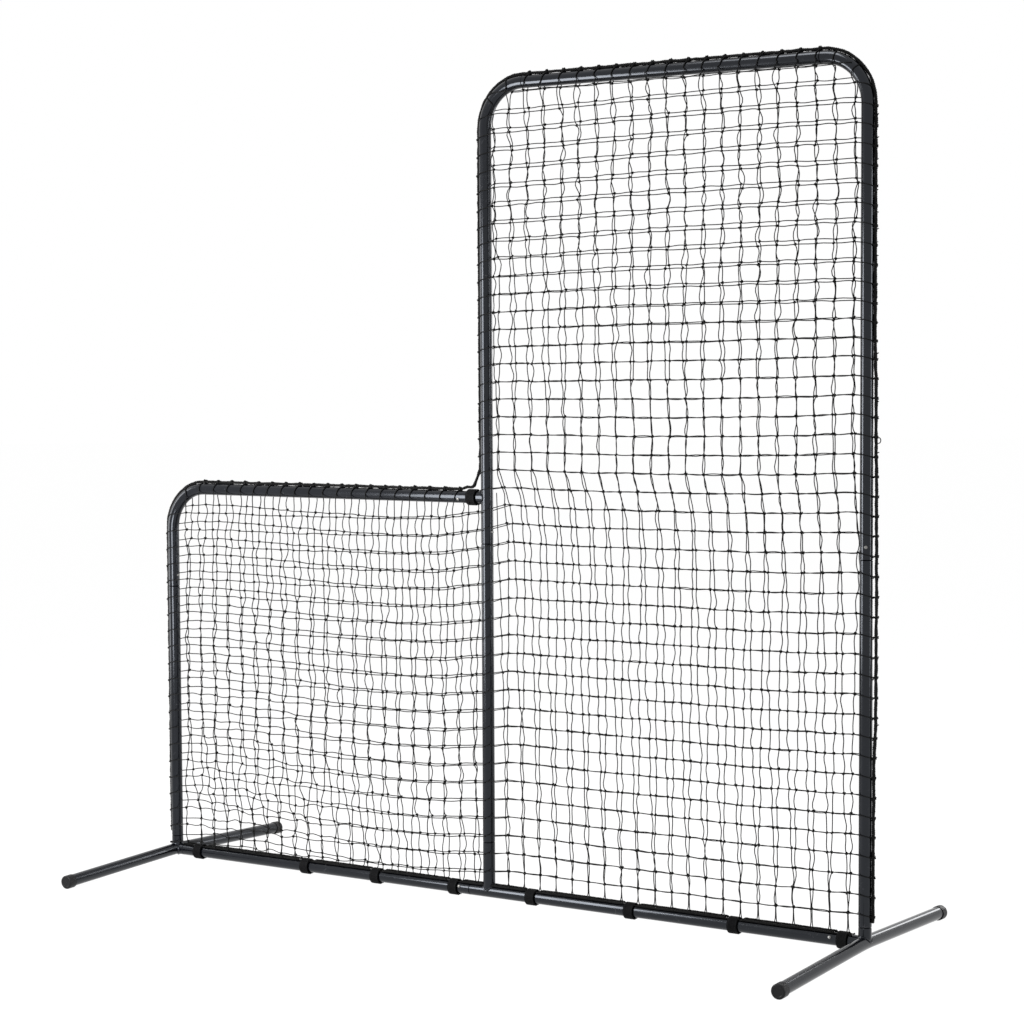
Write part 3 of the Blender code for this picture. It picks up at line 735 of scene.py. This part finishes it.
low_hang = metres((
    (60, -1013, -532, -32, -993, -511, -42), (164, -1015, -532, -33, -1003, -520, -45),
    (218, -1016, -532, -29, -1020, -530, -53), (285, -1011, -525, -28, -1025, -534, -52),
    (366, -1007, -522, -35, -1029, -548, -52), (447, -1007, -518, -34, -1037, -544, -53),
    (528, -1002, -520, -36, -1030, -533, -48), (609, -1007, -525, -39, -1037, -539, -48),
    (690, -1004, -519, -41, -1034, -536, -42), (770, -1005, -519, -44, -1024, -532, -41),
    (851, -1003, -522, -48, -1023, -533, -40), (932, -1003, -527, -50, -1013, -529, -45),
    (1008, -1004, -526, -45, -1010, -526, -42)))

# How far the rows are pulled up or sag, by height, at these places along the frame.
lift_places = (0.08, 0.19, 0.34, 0.48, 0.62, 0.76, 0.89, 0.985, 1.03)
tall_lift = metres((
    (400, 0, 0, -1, 0, 1, 0, 4.5, 5, 8.5),
    (750, 0, -1.5, -0.6, 0, 0.6, 0, 2.7, 6, 9.5),
    (1050, 1.5, -2, -3, -1.5, -1, 1, 4.7, 8.8, 10.8),
    (1270, -3, -2, -3, -3, -1.3, 1.3, 3.7, 8.5, 10.8),
    (1410, -6.5, -5.8, -3.9, -1.5, -1.3, 1.5, 4, 6, 7.8),
    (1560, -13.5, -9.7, -5.8, -3.8, -3.1, -1.9, -1.5, -0.6, 0.6),
    (1850, -15, -13, -9, -6, -4.3, -2.5, -2, -2, -1.7)))
low_lift = metres((
    (-1000, -12.5), (-910, -10), (-790, -10.5), (-650, -10.7), (-510, -9),
    (-375, -8), (-244, -5.3), (-148, -3), (-69, 1.3)))
low_spread = metres((
    (-1070, 21), (-950, 24), (-750, 20), (-500, 9), (-270, 3),
    (-120, 9), (0, 6)))


def along_table(table, at):
    """The values at a place in a table, in a straight line between its entries."""
    if at <= table[0][0]:
        return table[0][1:]
    for here, there in zip(table, table[1:]):
        if at <= there[0]:
            share = (at - here[0]) / (there[0] - here[0])
            return tuple(a + (b - a) * share for a, b in zip(here[1:], there[1:]))
    return table[-1][1:]


def uneven(seed, *place):
    """A small repeatable unevenness from -1 to 1."""
    return max(-1.0, min(1.0, 1.7 * noise.noise(Vector(place) * 7.31 + seed * X)))


def clamped(share):
    """The share, kept from 0 to 1."""
    return max(0.0, min(1.0, share))


def looseness(place):
    """1 at the foot of the low half, where the net hangs slackest, falling to 0 around it."""
    return clamped((-0.25 - place.x) / 0.5) * clamped((0.62 - place.z) / 0.4)


def high_share(z):
    """0 up to the middle of the tall half, rising to 1 where its columns sway most."""
    return clamped((z - 1.2) / 0.6)


def row_height(half, row, x, layer):
    """How high a row of knots lies at a place along it, for the front (-1) or back (1) layer."""
    low = low_first_row + low_row_gap * row
    tall = (tall_first_row + lower_row_gap * min(row, gap_change_row) +
            upper_row_gap * max(min(row, tall_rows - 2) - gap_change_row, 0))
    half_step = (tall - low - 0.004) * 0.5
    if half == "low":
        spread = along_table(low_spread, x)[0]
        height = low + spread / 2 + half_step * clamped((x + 0.12) / 0.12)
        height += along_table(low_lift, x)[0]
    elif row == tall_rows - 1:
        return top_row_z + 0.004 * x + layer * 0.001
    else:
        spread = 0.010 * clamped((tall - 1.40 - 0.4 * max(0, 0.4 - x)) / 0.3)
        ease = clamped((0.055 - x) / 0.055) if row < low_rows else 0.0
        lifts = along_table(tall_lift, tall)
        height = tall - half_step * ease + along_table(tuple(zip(lift_places, lifts)), x)[0]
    lean = (eye_height - height) * row_lean
    return height + layer * (spread / 2 - lean)


def column_place(half, column, z, layer):
    """Where a column of the front (-1) or back (1) layer hangs along the frame at a height."""
    hang = along_table(tall_hang if half == "tall" else low_hang, z)
    first, middle, last = hang[:3] if layer < 0 else hang[3:]
    turn = 9 if half == "tall" else 10
    if column <= turn:
        return first + (middle - first) * column / turn
    return middle + (last - middle) * (column - turn) / (columns_across - turn)


def net_knot(half, column, row, layer):
    """Where a column and a row are tied together."""
    x = column_place(half, column, row_height(half, row, 0.5 if half == "tall" else -0.5, layer),
                     layer)
    z = row_height(half, row, x, layer)
    seed = 10 * layer + (3 if half == "tall" else 5)
    loose = 0.0050 * looseness(in_plane(x, z))
    sway = 0.0034 if half == "low" else 0.0022 + 0.0024 * high_share(z)
    return Vector((x + (sway + loose) * uneven(seed, column, row, 0), layer * layer_offset,
                   z + (0.0012 + loose) * uneven(seed, column, row, 9)))


def slack_run(start, end, side, seed, amount):
    """Twine from one knot up to the next, in a slack S, without its last point."""
    bow = 1.5 * amount * uneven(seed, start.x * 20, start.z * 20, 1)
    swing = 0.5 * amount * uneven(seed, start.x * 20, start.z * 20, 5)
    return [start.lerp(end, share) + side * (bow * math.sin(math.pi * share) +
                                             swing * math.sin(2 * math.pi * share))
            for share in (0, 0.2, 0.4, 0.6, 0.8)]


def round_tube(axis_place, out, front, wrap, rise):
    """Places round a tube from its outer side to its front, that climb along rise on the way."""
    first, last = wrap
    return [axis_place + layer_offset * turned_from(out, front, math.pi / 2 * step / 6) +
            rise * (first + (last - first) * step / 6) for step in range(7)]


def first_column(half, row, layer):
    """Below the notch the back layer's first column hangs one further in, beside the upright."""
    return -1 if half == "tall" and layer > 0 and row < low_rows - 2 else 0


def net_rows(half, layer):
    """Every row of one layer, from the seam or the middle to the other side."""
    lines = []
    front = Y * layer
    for row in range(rows_in[half]):
        knots = [net_knot(half, column, row, layer) for column in
                 range(first_column(half, row, layer), columns_across + 1)]
        middle = Vector((0, layer * layer_offset, row_height(half, row, 0, layer)))
        z = knots[0].z
        if half == "low":
            line = round_tube(in_plane(left_x, z), -X, front, left_wrap, Z)
        elif row >= low_rows:
            line = round_tube(in_plane(0, z), -X, front, middle_wrap, Z)
        else:
            line = [middle]
        line += slack_run(line[-1], knots[0], Z, row, wrap_slack)[1:]
        for here, there in zip(knots, knots[1:]):
            slack = row_slack + loose_row_slack * looseness(here)
            line += slack_run(here, there, Z, 31 + row, slack)
        if half == "tall" or knots[-1].x < -0.001:
            line.append(knots[-1])
        if half == "low":
            line.append(middle)
        else:
            z = knots[-1].z
            line += round_tube(in_plane(right_x, z), X, front, right_wrap, Z)[::-1]
        lines.append(line)
    return lines


def net_columns(half, layer):
    """Every column of one layer, from the hem at the bottom to the seam over the rail."""
    lines = []
    front = Y * layer
    rail_top = top_z if half == "tall" else low_rail_z
    for column in range(first_column(half, 0, layer), columns_across + 1):
        knots = [net_knot(half, column, row, layer) for row in range(rows_in[half])
                 if column >= first_column(half, row, layer)]
        hem = Vector((column_place(half, column, rail_z, layer), 0, rail_z))
        hem += layer_offset * turned_from(front, Z, hem_angle)
        line = [hem, hem.lerp(knots[0], 0.3) + front * 0.0035,
                hem.lerp(knots[0], 0.65) + front * 0.0022]
        for here, there in zip(knots, knots[1:]):
            slack = (low_column_slack if half == "low" else
                     column_slack + high_column_slack * high_share(here.z))
            line += slack_run(here, there, X, 57 + column, slack)
        line.append(knots[-1])
        x = column_place(half, column, rail_top, layer)
        bends = [in_plane(centre_x, centre_z) for centre_x, centre_z, way in frame_bends[half]
                 if (x - centre_x) * way > 0]
        if column < 0:
            line.append(Vector((0.018, layer * layer_offset, low_rail_z + 0.012)))
        elif bends:
            reach = x - bends[0].x
            outward = Vector((reach, 0, math.sqrt(max(bend_radius ** 2 - reach ** 2, 0.0))))
            foot = bends[0] + outward
            line = [place for place in line if place.z < foot.z - 0.004]
            line += round_tube(foot, outward.normalized(), front, (0, 0), X)[::-1]
        else:
            wrap = round_tube(in_plane(x, rail_top), Z, front, top_wrap, X)[::-1]
            line += slack_run(knots[-1], wrap[0], X, 91 + column, end_slack)[1:] + wrap
        lines.append(line)
    return lines


def clip_rows(half, lines):
    """Rows stop where the frame's bends leave the corner of the square open."""
    clipped = []
    for line in lines:
        kept = []
        for place in line:
            for centre_x, centre_z, way in frame_bends[half]:
                across, above = (place.x - centre_x) * way, place.z - centre_z
                reach = math.hypot(across, above)
                if across > 0 and above > 0 and reach > bend_radius:
                    if reach > bend_radius + layer_offset * 1.6:
                        break
                    around = min((reach - bend_radius) / layer_offset, math.pi / 2)
                    near = bend_radius + layer_offset * math.sin(around)
                    depth = layer_offset * math.cos(around)
                    place = Vector((centre_x + way * across * near / reach,
                                    math.copysign(depth, place.y),
                                    centre_z + above * near / reach))
            else:
                kept.append(place)
        clipped.append(kept)
    return clipped


def outside_bends(half, place):
    """True for a knot that would lie beyond the frame's rounded corners."""
    for centre_x, centre_z, way in frame_bends[half]:
        across, above = (place.x - centre_x) * way, place.z - centre_z
        if across > 0 and above > 0 and math.hypot(across, above) > bend_radius - 0.004:
            return True
    return False


def tie_knots(half, layer):
    """A small turn of twine pulled tight round every crossing."""
    lines = []
    for row in range(rows_in[half]):
        for column in range(first_column(half, row, layer), columns_across + 1):
            place = net_knot(half, column, row, layer)
            if outside_bends(half, place):
                continue
            tilt = math.radians(45) + 0.9 * uneven(7, column, row, layer)
            size = knot_size * (1.0 + 0.2 * uneven(9, row, column, layer))
            long_way = turned_from(X, Z, tilt)
            lines.append([(place + size * (turned_from(0.75 * Y, long_way.cross(Y),
                                                       2 * math.pi * step / 5.2) +
                                           long_way * (step - 3) * 0.34), 1.4)
                          for step in range(7)])
    return lines


# Twisted twine seen close: strands that wind round each other, along the cord's own UV map, and a
# mask of the hollows between them where shade is painted into the colour.
twist_group, twist_in, twist_out = new_group(
    "twisted_lay", {"Cord UV": "Vector", "Turns": "Float", "Strands": "Float"},
    ("Height", "Groove Shade"))
twist_uv = place_node(twist_group, "ShaderNodeSeparateXYZ", {0: twist_in["Cord UV"]}).outputs
twist_along = maths(twist_group, "MULTIPLY", twist_uv[0], twist_in["Turns"])
twist_around = maths(twist_group, "MULTIPLY", twist_uv[1], twist_in["Strands"])
twist_sum = maths(twist_group, "ADD", twist_along, twist_around)
twist_wave = maths(twist_group, "SINE", maths(twist_group, "MULTIPLY", twist_sum, math.pi))
twist_height = maths(twist_group, "ABSOLUTE", twist_wave)
twist_group.links.new(twist_height, twist_out["Height"])
twist_group.links.new(ramp(twist_group, twist_height, 0, 0.35, 1, 0), twist_out["Groove Shade"])


def twine_finish(name, colour, turns, strands):
    """Black polyester twine: dull, with shade painted darker into the grooves between its strands,
    and a grey fuzz.
    """
    finish, tree, shader, place = new_finish(name, IOR=1.45, Specular_IOR_Level=0.12)
    height, groove_shade = use_group(tree, twist_group, {"Cord UV": place["UV"], "Turns": turns,
                                                   "Strands": strands})
    dust, scuff = find_marks(tree, place, 16.0, 900.0)
    dusty = blend_colours(tree, dust, colour, tuple(2.2 * part for part in colour))
    # Painted shade: the twine's colour is made darker in the grooves between its strands.
    groove_shaded = blend_colours(tree, groove_shade, dusty, (0.002, 0.002, 0.002))
    dress_shader(tree, shader, groove_shaded, ramp(tree, scuff, 0, 1, 0.62, 0.9), height, 0.7, 0.0004)
    return finish


net_finish = twine_finish("black_net_twine", (0.007, 0.007, 0.007), 400.0, 2.0)


def make_net(name, half, layer, node):
    """One layer of one half of the net: its rows, its columns and its knots."""
    net = join_pieces(name, [
        cord_curve("rows", clip_rows(half, net_rows(half, layer)), twine_radius * 0.92,
                   length=1.07),
        cord_curve("columns", net_columns(half, layer), twine_radius,
                   length=2.09 if half == "tall" else 1.03),
        cord_curve("knots", tie_knots(half, layer), twine_radius, length=0.01)], crisp=False)
    fit_piece(net, net_finish, "net_twine", "frame", node)


for layer, layer_name in ((-1, "front"), (1, "back")):
    for half in ("low", "tall"):
        make_net(f"{half}_net_{layer_name}", half, layer, f"net_{layer_name}_{half}")


# ---- Seam rope ----
# A thicker three-strand rope runs round the outside of the frame. Both layers of the net are
# lashed to it, so it is lumpy with hitches, and cut ends of twine stick out of it like thorns.
rope_strand = 0.0023
seam_offset = tube_radius + 1.85 * rope_strand
rope_slack = ((0.10, 0.0), (0.47, 0.0010), (0.56, 0.0050), (0.85, 0.0060), (1.12, 0.0050),
              (1.22, 0.0030), (1.36, 0.0030), (1.44, 0.0))
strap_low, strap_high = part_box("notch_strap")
strap_reach = -middle_of("notch_strap").x
strap_half = (strap_high.x - strap_low.x) / 2
seam_spacing = 0.0022
seam_end_z = rail_z + 0.050
seam_turn_z = low_rail_z + 0.072
strap_rise = 0.0056


def rounded_line(points, radius, spacing):
    """A line through corners that are rounded to the radius, as evenly spaced places."""
    places = [points[0]]
    for before, corner, after in zip(points, points[1:], points[2:]):
        come, leave = (before - corner).normalized(), (after - corner).normalized()
        half = come.angle(leave) / 2
        cut = min(radius / math.tan(half), (before - corner).length * 0.45,
                  (after - corner).length * 0.45)
        reach = cut * math.tan(half)
        pivot = corner + (come + leave).normalized() * math.hypot(cut, reach)
        first = (corner + come * cut - pivot).normalized()
        last = (corner + leave * cut - pivot).normalized()
        places += [pivot + first.slerp(last, step / 16) * reach for step in range(17)]
    places.append(points[-1])
    even = [places[0]]
    for here, there in zip(places, places[1:]):
        steps = max(1, round((there - here).length / spacing))
        even += [here.lerp(there, step / steps) for step in range(1, steps + 1)]
    return even


low_seam_z, top_seam_z = low_rail_z + seam_offset, top_z + seam_offset
left_seam_x, right_seam_x = left_x - seam_offset, right_x + seam_offset
seam_low = [in_plane(x, z) for x, z in (
    (left_seam_x, seam_end_z), (left_seam_x, low_seam_z),
    (-strap_reach - strap_half * 2, low_seam_z),
    (-strap_reach - strap_half, low_seam_z + strap_rise), (-strap_reach, low_seam_z + strap_rise),
    (-seam_offset, seam_turn_z))]
seam_tall = [in_plane(x, z) for x, z in (
    (-seam_offset, seam_turn_z), (-seam_offset, top_seam_z), (right_seam_x, top_seam_z),
    (right_seam_x, seam_end_z))]
seam_places = (rounded_line(seam_low[:3], bend_radius + seam_offset, seam_spacing)[:-1] +
               rounded_line(seam_low[2:], 0.012, seam_spacing)[:-1] +
               rounded_line(seam_tall, bend_radius + seam_offset, seam_spacing))


def loosened(place):
    """The rope runs a little unevenly, and stands off the right upright in its lower half."""
    drift = 0.0006 * Vector((uneven(6, place.x * 6, place.z * 6, 1), 0,
                             uneven(6, place.x * 6, place.z * 6, 4)))
    if place.x > right_x:
        drift += X * along_table(rope_slack, place.z)[0]
    return place + drift


seam_places = [loosened(place) for place in seam_places]


def twist_strands(places, offset, pitch, seed, press=None):
    """Three strands that wind round a line of places, a little unevenly, thinner where pressed."""
    lines = [[] for _ in range(3)]
    turned = 0.0
    for number, place in enumerate(places):
        ahead = places[min(number + 1, len(places) - 1)]
        behind = places[max(number - 1, 0)]
        up = (ahead - behind).normalized().cross(Y)
        turned += (ahead - place).length / pitch * 2 * math.pi
        tight = press(place) if press else 1.0
        reach = offset * (0.95 + 0.25 * uneven(seed, place.x * 9, place.z * 9, 2)) * tight
        for strand, line in enumerate(lines):
            angle = turned + 2 * math.pi * strand / 3
            line.append((place + reach * turned_from(Y, up, angle),
                         tight + 0.12 * uneven(seed, place.x * 30, place.z * 30, strand)))
    return lines


hitch_radius, hitch_pitch = rope_strand * 2 + twine_radius * 0.6, 0.0023


def hitch(x, z, run, turns, seed):
    """A few turns of twine wound round the rope at a tie."""
    place = loosened(in_plane(x, z))
    side = run.orthogonal().normalized()
    up = run.cross(side)
    line = []
    for step in range(turns * 7 + 1):
        angle = 2 * math.pi * step / 7
        wide = hitch_radius * (1 + 0.2 * uneven(seed, step, place.x * 50, place.z * 50))
        line.append(place + run * (step / 7 - turns / 2) * hitch_pitch +
                    wide * turned_from(side, up, angle))
    return line


tie_lines = []
for row in range(low_rows):
    z = row_height("low", row, left_x, -1) + left_wrap[0]
    if z <= low_rail_z - bend_radius:
        tie_lines.append(hitch(left_seam_x, z, Z, 2, row))
for row in range(tall_rows):
    z = row_height("tall", row, right_x, -1) + right_wrap[0]
    if seam_end_z < z < top_z - bend_radius:
        tie_lines.append(hitch(right_seam_x, z, Z, 2, 100 + row))
        knot = loosened(in_plane(right_seam_x, z))
        root = in_plane(right_x + layer_offset, z)
        tie_lines.append([root, root.lerp(knot, 0.5) - Z * 0.001, knot])
    z = row_height("tall", row, 0, -1) + middle_wrap[0]
    if low_rail_z + 0.08 < z < top_z - bend_radius:
        tie_lines.append(hitch(-seam_offset, z, Z, 2, 200 + row))
for column in range(columns_across + 1):
    x = column_place("tall", column, top_z, -1) + top_wrap[0]
    if bend_radius < x < right_x - bend_radius:
        tie_lines.append(hitch(x, top_seam_z, X, 3, 300 + column))
    x = column_place("low", column, low_rail_z, -1) + top_wrap[0]
    if left_x + bend_radius < x < -strap_reach - strap_half:
        tie_lines.append(hitch(x, low_seam_z, X, 3, 400 + column))

# Cut ends and one loose loop stand out of the rope on the right upright.
thorn_heights = (0.55, 0.93, 1.19, 1.31, 1.42, 1.49, 1.55, 1.62, 1.65, 1.68, 1.71, 1.75, 1.80,
                 1.87, 1.92, 1.97)
thorn_lines = []
for number, z in enumerate(thorn_heights):
    root = loosened(in_plane(right_seam_x, z))
    tip = root + Vector((0.0072 + 0.002 * uneven(3, number, 1, 1), 0.003 * uneven(5, number, 2, 2),
                         0.004 + 0.005 * uneven(8, number, 3, 3)))
    thorn_lines.append([(root, 1.2), (root.lerp(tip, 0.6) + Z * 0.001, 1.1), (tip, 0.7)])
loop_z, loop_wide, loop_high = 1.222, 0.006, 0.007
loose_loop = loosened(in_plane(right_seam_x, loop_z))
thorn_lines.append([(loose_loop + loop_wide * X +
                     turned_from(-loop_wide * X, loop_high * Z, 2 * math.pi * step / 14), 0.9)
                    for step in range(14)])
seam_rope = join_pieces("seam_rope_lashed", [
    cord_curve("rope", twist_strands(seam_places, rope_strand, 0.015, 4), rope_strand, length=6.5),
    cord_curve("ties", tie_lines, twine_radius, length=0.04),
    cord_curve("thorns", thorn_lines, twine_radius, length=0.01)], crisp=False)
rope_finish = twine_finish("black_seam_rope", (0.006, 0.006, 0.006), 600.0, 3.0)
fit_piece(seam_rope, rope_finish, "net_twine", "frame", "net_seam_rope")


# ---- Hem ropes ----
# The bottom edge of each layer ends in a hem rope that lies along the top of the bottom rail,
# one at the front and one at the back, under the straps.
hem_radius, hem_inset = 0.0017, 0.03
pressed_share, strap_grip, grip_ease = 0.46, 0.019, 0.006
strap_middles = [middle_of(f"bottom_strap_{number}").x for number in range(1, 9)]


def squeezed(place):
    """How far the straps press the rope together: 1 between them, less under them."""
    nearest = min(abs(place.x - middle) for middle in strap_middles)
    return pressed_share + (1 - pressed_share) * clamped((nearest - strap_grip) / grip_ease)


for layer, layer_name in ((-1, "front"), (1, "back")):
    hem_places = []
    for step in range(901):
        x = left_x + hem_inset + (right_x - left_x - 2 * hem_inset) * step / 900
        reach = tube_radius + 2.1 * hem_radius * squeezed(in_plane(x, rail_z))
        angle = hem_angle + 0.06 * noise.noise(Vector((x * 9, layer, 0)))
        hem_places.append(in_plane(x, rail_z) + reach * turned_from(Y * layer, Z, angle))
    hem = cord_curve("hem", twist_strands(hem_places, hem_radius * 1.05, 0.0125, 8, squeezed),
                     hem_radius, length=2.07)
    hem = join_pieces(f"hem_rope_{layer_name}", [hem], crisp=False)
    fit_piece(hem, rope_finish, "net_twine", "frame")


# ---- Straps ----
# Eight hook-and-loop straps hold the hem to the bottom rail, and a ninth holds the net beside the
# notch. Each is a band of black webbing, sewn double, whose loose end closes over it at the back.
strap_width = 0.0275
strap_inner, strap_outer = 0.0180, 0.0198
tab_inner, webbing_gap = 0.0202, 0.0001
band_thickness, pad_thickness, tab_thickness = 0.0017, 0.0012, 0.0016
stitch_inset, soft_edge, pad_offset, tab_lift, strap_bulge = 0.0035, 0.0005, 0.0018, 0.0006, 0.0003
tab_root, tab_tip = math.radians(30), math.radians(-70)

webbing_finish, web_tree, web_shader, web_place = new_finish(
    "black_strap_webbing", IOR=1.45, Specular_IOR_Level=0.10)
web_uv = place_node(web_tree, "ShaderNodeSeparateXYZ", {0: web_place["UV"]}).outputs


def rib(along, per_metre, shift=0.0):
    """A row of rounded ribs across one direction of the webbing."""
    phase = maths(web_tree, "MULTIPLY_ADD", along, per_metre * math.pi, shift)
    return maths(web_tree, "ABSOLUTE", maths(web_tree, "SINE", phase))


# The weave's height serves both as a bump and as a mask of painted shade in the webbing's colour.
weave_height_and_shade = maths(web_tree, "MULTIPLY", rib(web_uv[1], 620.0), rib(web_uv[0], 430.0, 0.6))
web_dust, web_scuff = find_marks(web_tree, web_place, 40.0, 400.0)
stitch_off = maths(web_tree, "SUBTRACT", maths(web_tree, "ABSOLUTE", web_uv[1]),
                   strap_width / 2 - stitch_inset)
stitch_line = ramp(web_tree, maths(web_tree, "ABSOLUTE", stitch_off), 0.0003, 0.0006, 1, 0)
stitch_dash = ramp(web_tree, rib(web_uv[0], 300.0), 0.35, 0.5, 0, 1)
stitch_mask = maths(web_tree, "MULTIPLY", stitch_line, stitch_dash)
# Painted shade: the webbing is coloured darker in the hollows of the weave and lighter on its ribs.
web_colour = blend_colours(web_tree, weave_height_and_shade, (0.0020, 0.0020, 0.0024), (0.0060, 0.0060, 0.0066))
for mask, colour in ((web_scuff, (0.016, 0.016, 0.017)), (stitch_mask, (0.020, 0.020, 0.022))):
    web_colour = blend_colours(web_tree, mask, web_colour, colour)
dress_shader(web_tree, web_shader, web_colour, ramp(web_tree, web_dust, 0, 1, 0.72, 0.92),
             maths(web_tree, "MULTIPLY_ADD", stitch_mask, 1.5, weave_height_and_shade), 0.8, 0.0004)


def webbing_arc(work, start_angle, end_angle, steps, reach, width, thickness, closed=False):
    """A strip of webbing bent round the rail, reach giving its inner radius by angle."""
    angles = [start_angle + (end_angle - start_angle) * step / steps for step in
              range(steps if closed else steps + 1)]
    halves = [-width / 2, -width / 2 + 0.002, -width / 6, width / 6, width / 2 - 0.002, width / 2]
    uv = work.loops.layers.uv.verify()
    first = angles[0]
    verts = [work.verts.new(across * X + reach(first) * turned_from(Y, Z, first))
             for across in halves]
    strip = [work.edges.new(pair) for pair in zip(verts, verts[1:])]
    before = set(work.faces)
    for here, there in zip(angles, angles[1:] + ([end_angle] if closed else [])):
        moved, strip = extrude_ring(work, strip)
        for vert in moved:
            vert.co = vert.co.x * X + reach(there) * turned_from(Y, Z, there)
    if closed:
        bmesh.ops.remove_doubles(work, verts=work.verts, dist=0.00001)
    faces = [face for face in work.faces if face not in before]
    for face in faces:
        middle = face.calc_center_median()
        around = math.atan2(middle.z, middle.y)
        for loop in face.loops:
            turn = math.atan2(loop.vert.co.z, loop.vert.co.y)
            turn += 2 * math.pi * round((around - turn) / (2 * math.pi))
            loop[uv].uv = (turn * strap_outer, loop.vert.co.x)
    for face in faces:
        face.normal_update()
        middle = face.calc_center_median()
        if face.normal.dot(Vector((0, middle.y, middle.z))) < 0:
            face.normal_flip()
    bmesh.ops.solidify(work, geom=faces, thickness=-thickness)


def strap_reach_at(angle):
    """The band's inner radius: it stands off a little over the hem ropes and at the front."""
    bulge = strap_bulge * (0.5 - 0.5 * math.cos(3 * (angle - math.radians(95))))
    return strap_inner + webbing_gap + (bulge if math.cos(angle) < 0.2 else 0)


def pad_reach_at(angle):
    """The inner radius of the doubled pad at the front of the band."""
    return strap_reach_at(angle) + pad_offset


def tab_reach_at(angle):
    """The loose end's inner radius, that stands up a little at its tip."""
    share = (tab_root - angle) / (tab_root - tab_tip)
    return tab_inner + webbing_gap + tab_lift * max(0.0, share - 0.7)


def finish_webbing(work, name, centre):
    """The webbing put on its rail, with softened edges."""
    bmesh.ops.translate(work, vec=centre, verts=work.verts)
    piece = join_pieces(name, [keep_mesh(work, "webbing")])
    soften = piece.modifiers.new("soft_edge", "BEVEL")
    soften.width = soft_edge
    soften.segments = 2
    soften.limit_method = "ANGLE"
    soften.angle_limit = math.radians(50)
    return piece


def make_band(name, centre):
    """The band round the rail with its doubled, sewn front."""
    work = bmesh.new()
    webbing_arc(work, math.radians(30), math.radians(390), 40, strap_reach_at, strap_width,
                band_thickness, closed=True)
    webbing_arc(work, math.radians(70), math.radians(265), 22, pad_reach_at, strap_width - 0.001,
                pad_thickness)
    return finish_webbing(work, name, centre)


def make_tab(name, centre):
    """The loose end that closes over the band."""
    work = bmesh.new()
    webbing_arc(work, tab_root, tab_tip, 16, tab_reach_at, strap_width - 0.002, tab_thickness)
    return finish_webbing(work, name, centre)


for node in [f"bottom_strap_{number}" for number in range(1, 9)] + ["notch_strap"]:
    centre = middle_of(node)
    fit_piece(make_band(node + "_band", centre), webbing_finish, "strap_webbing", "frame", node)
    fit_piece(make_tab(node + "_end", centre), webbing_finish, "strap_webbing", node + "_tab",
              node + "_tab")
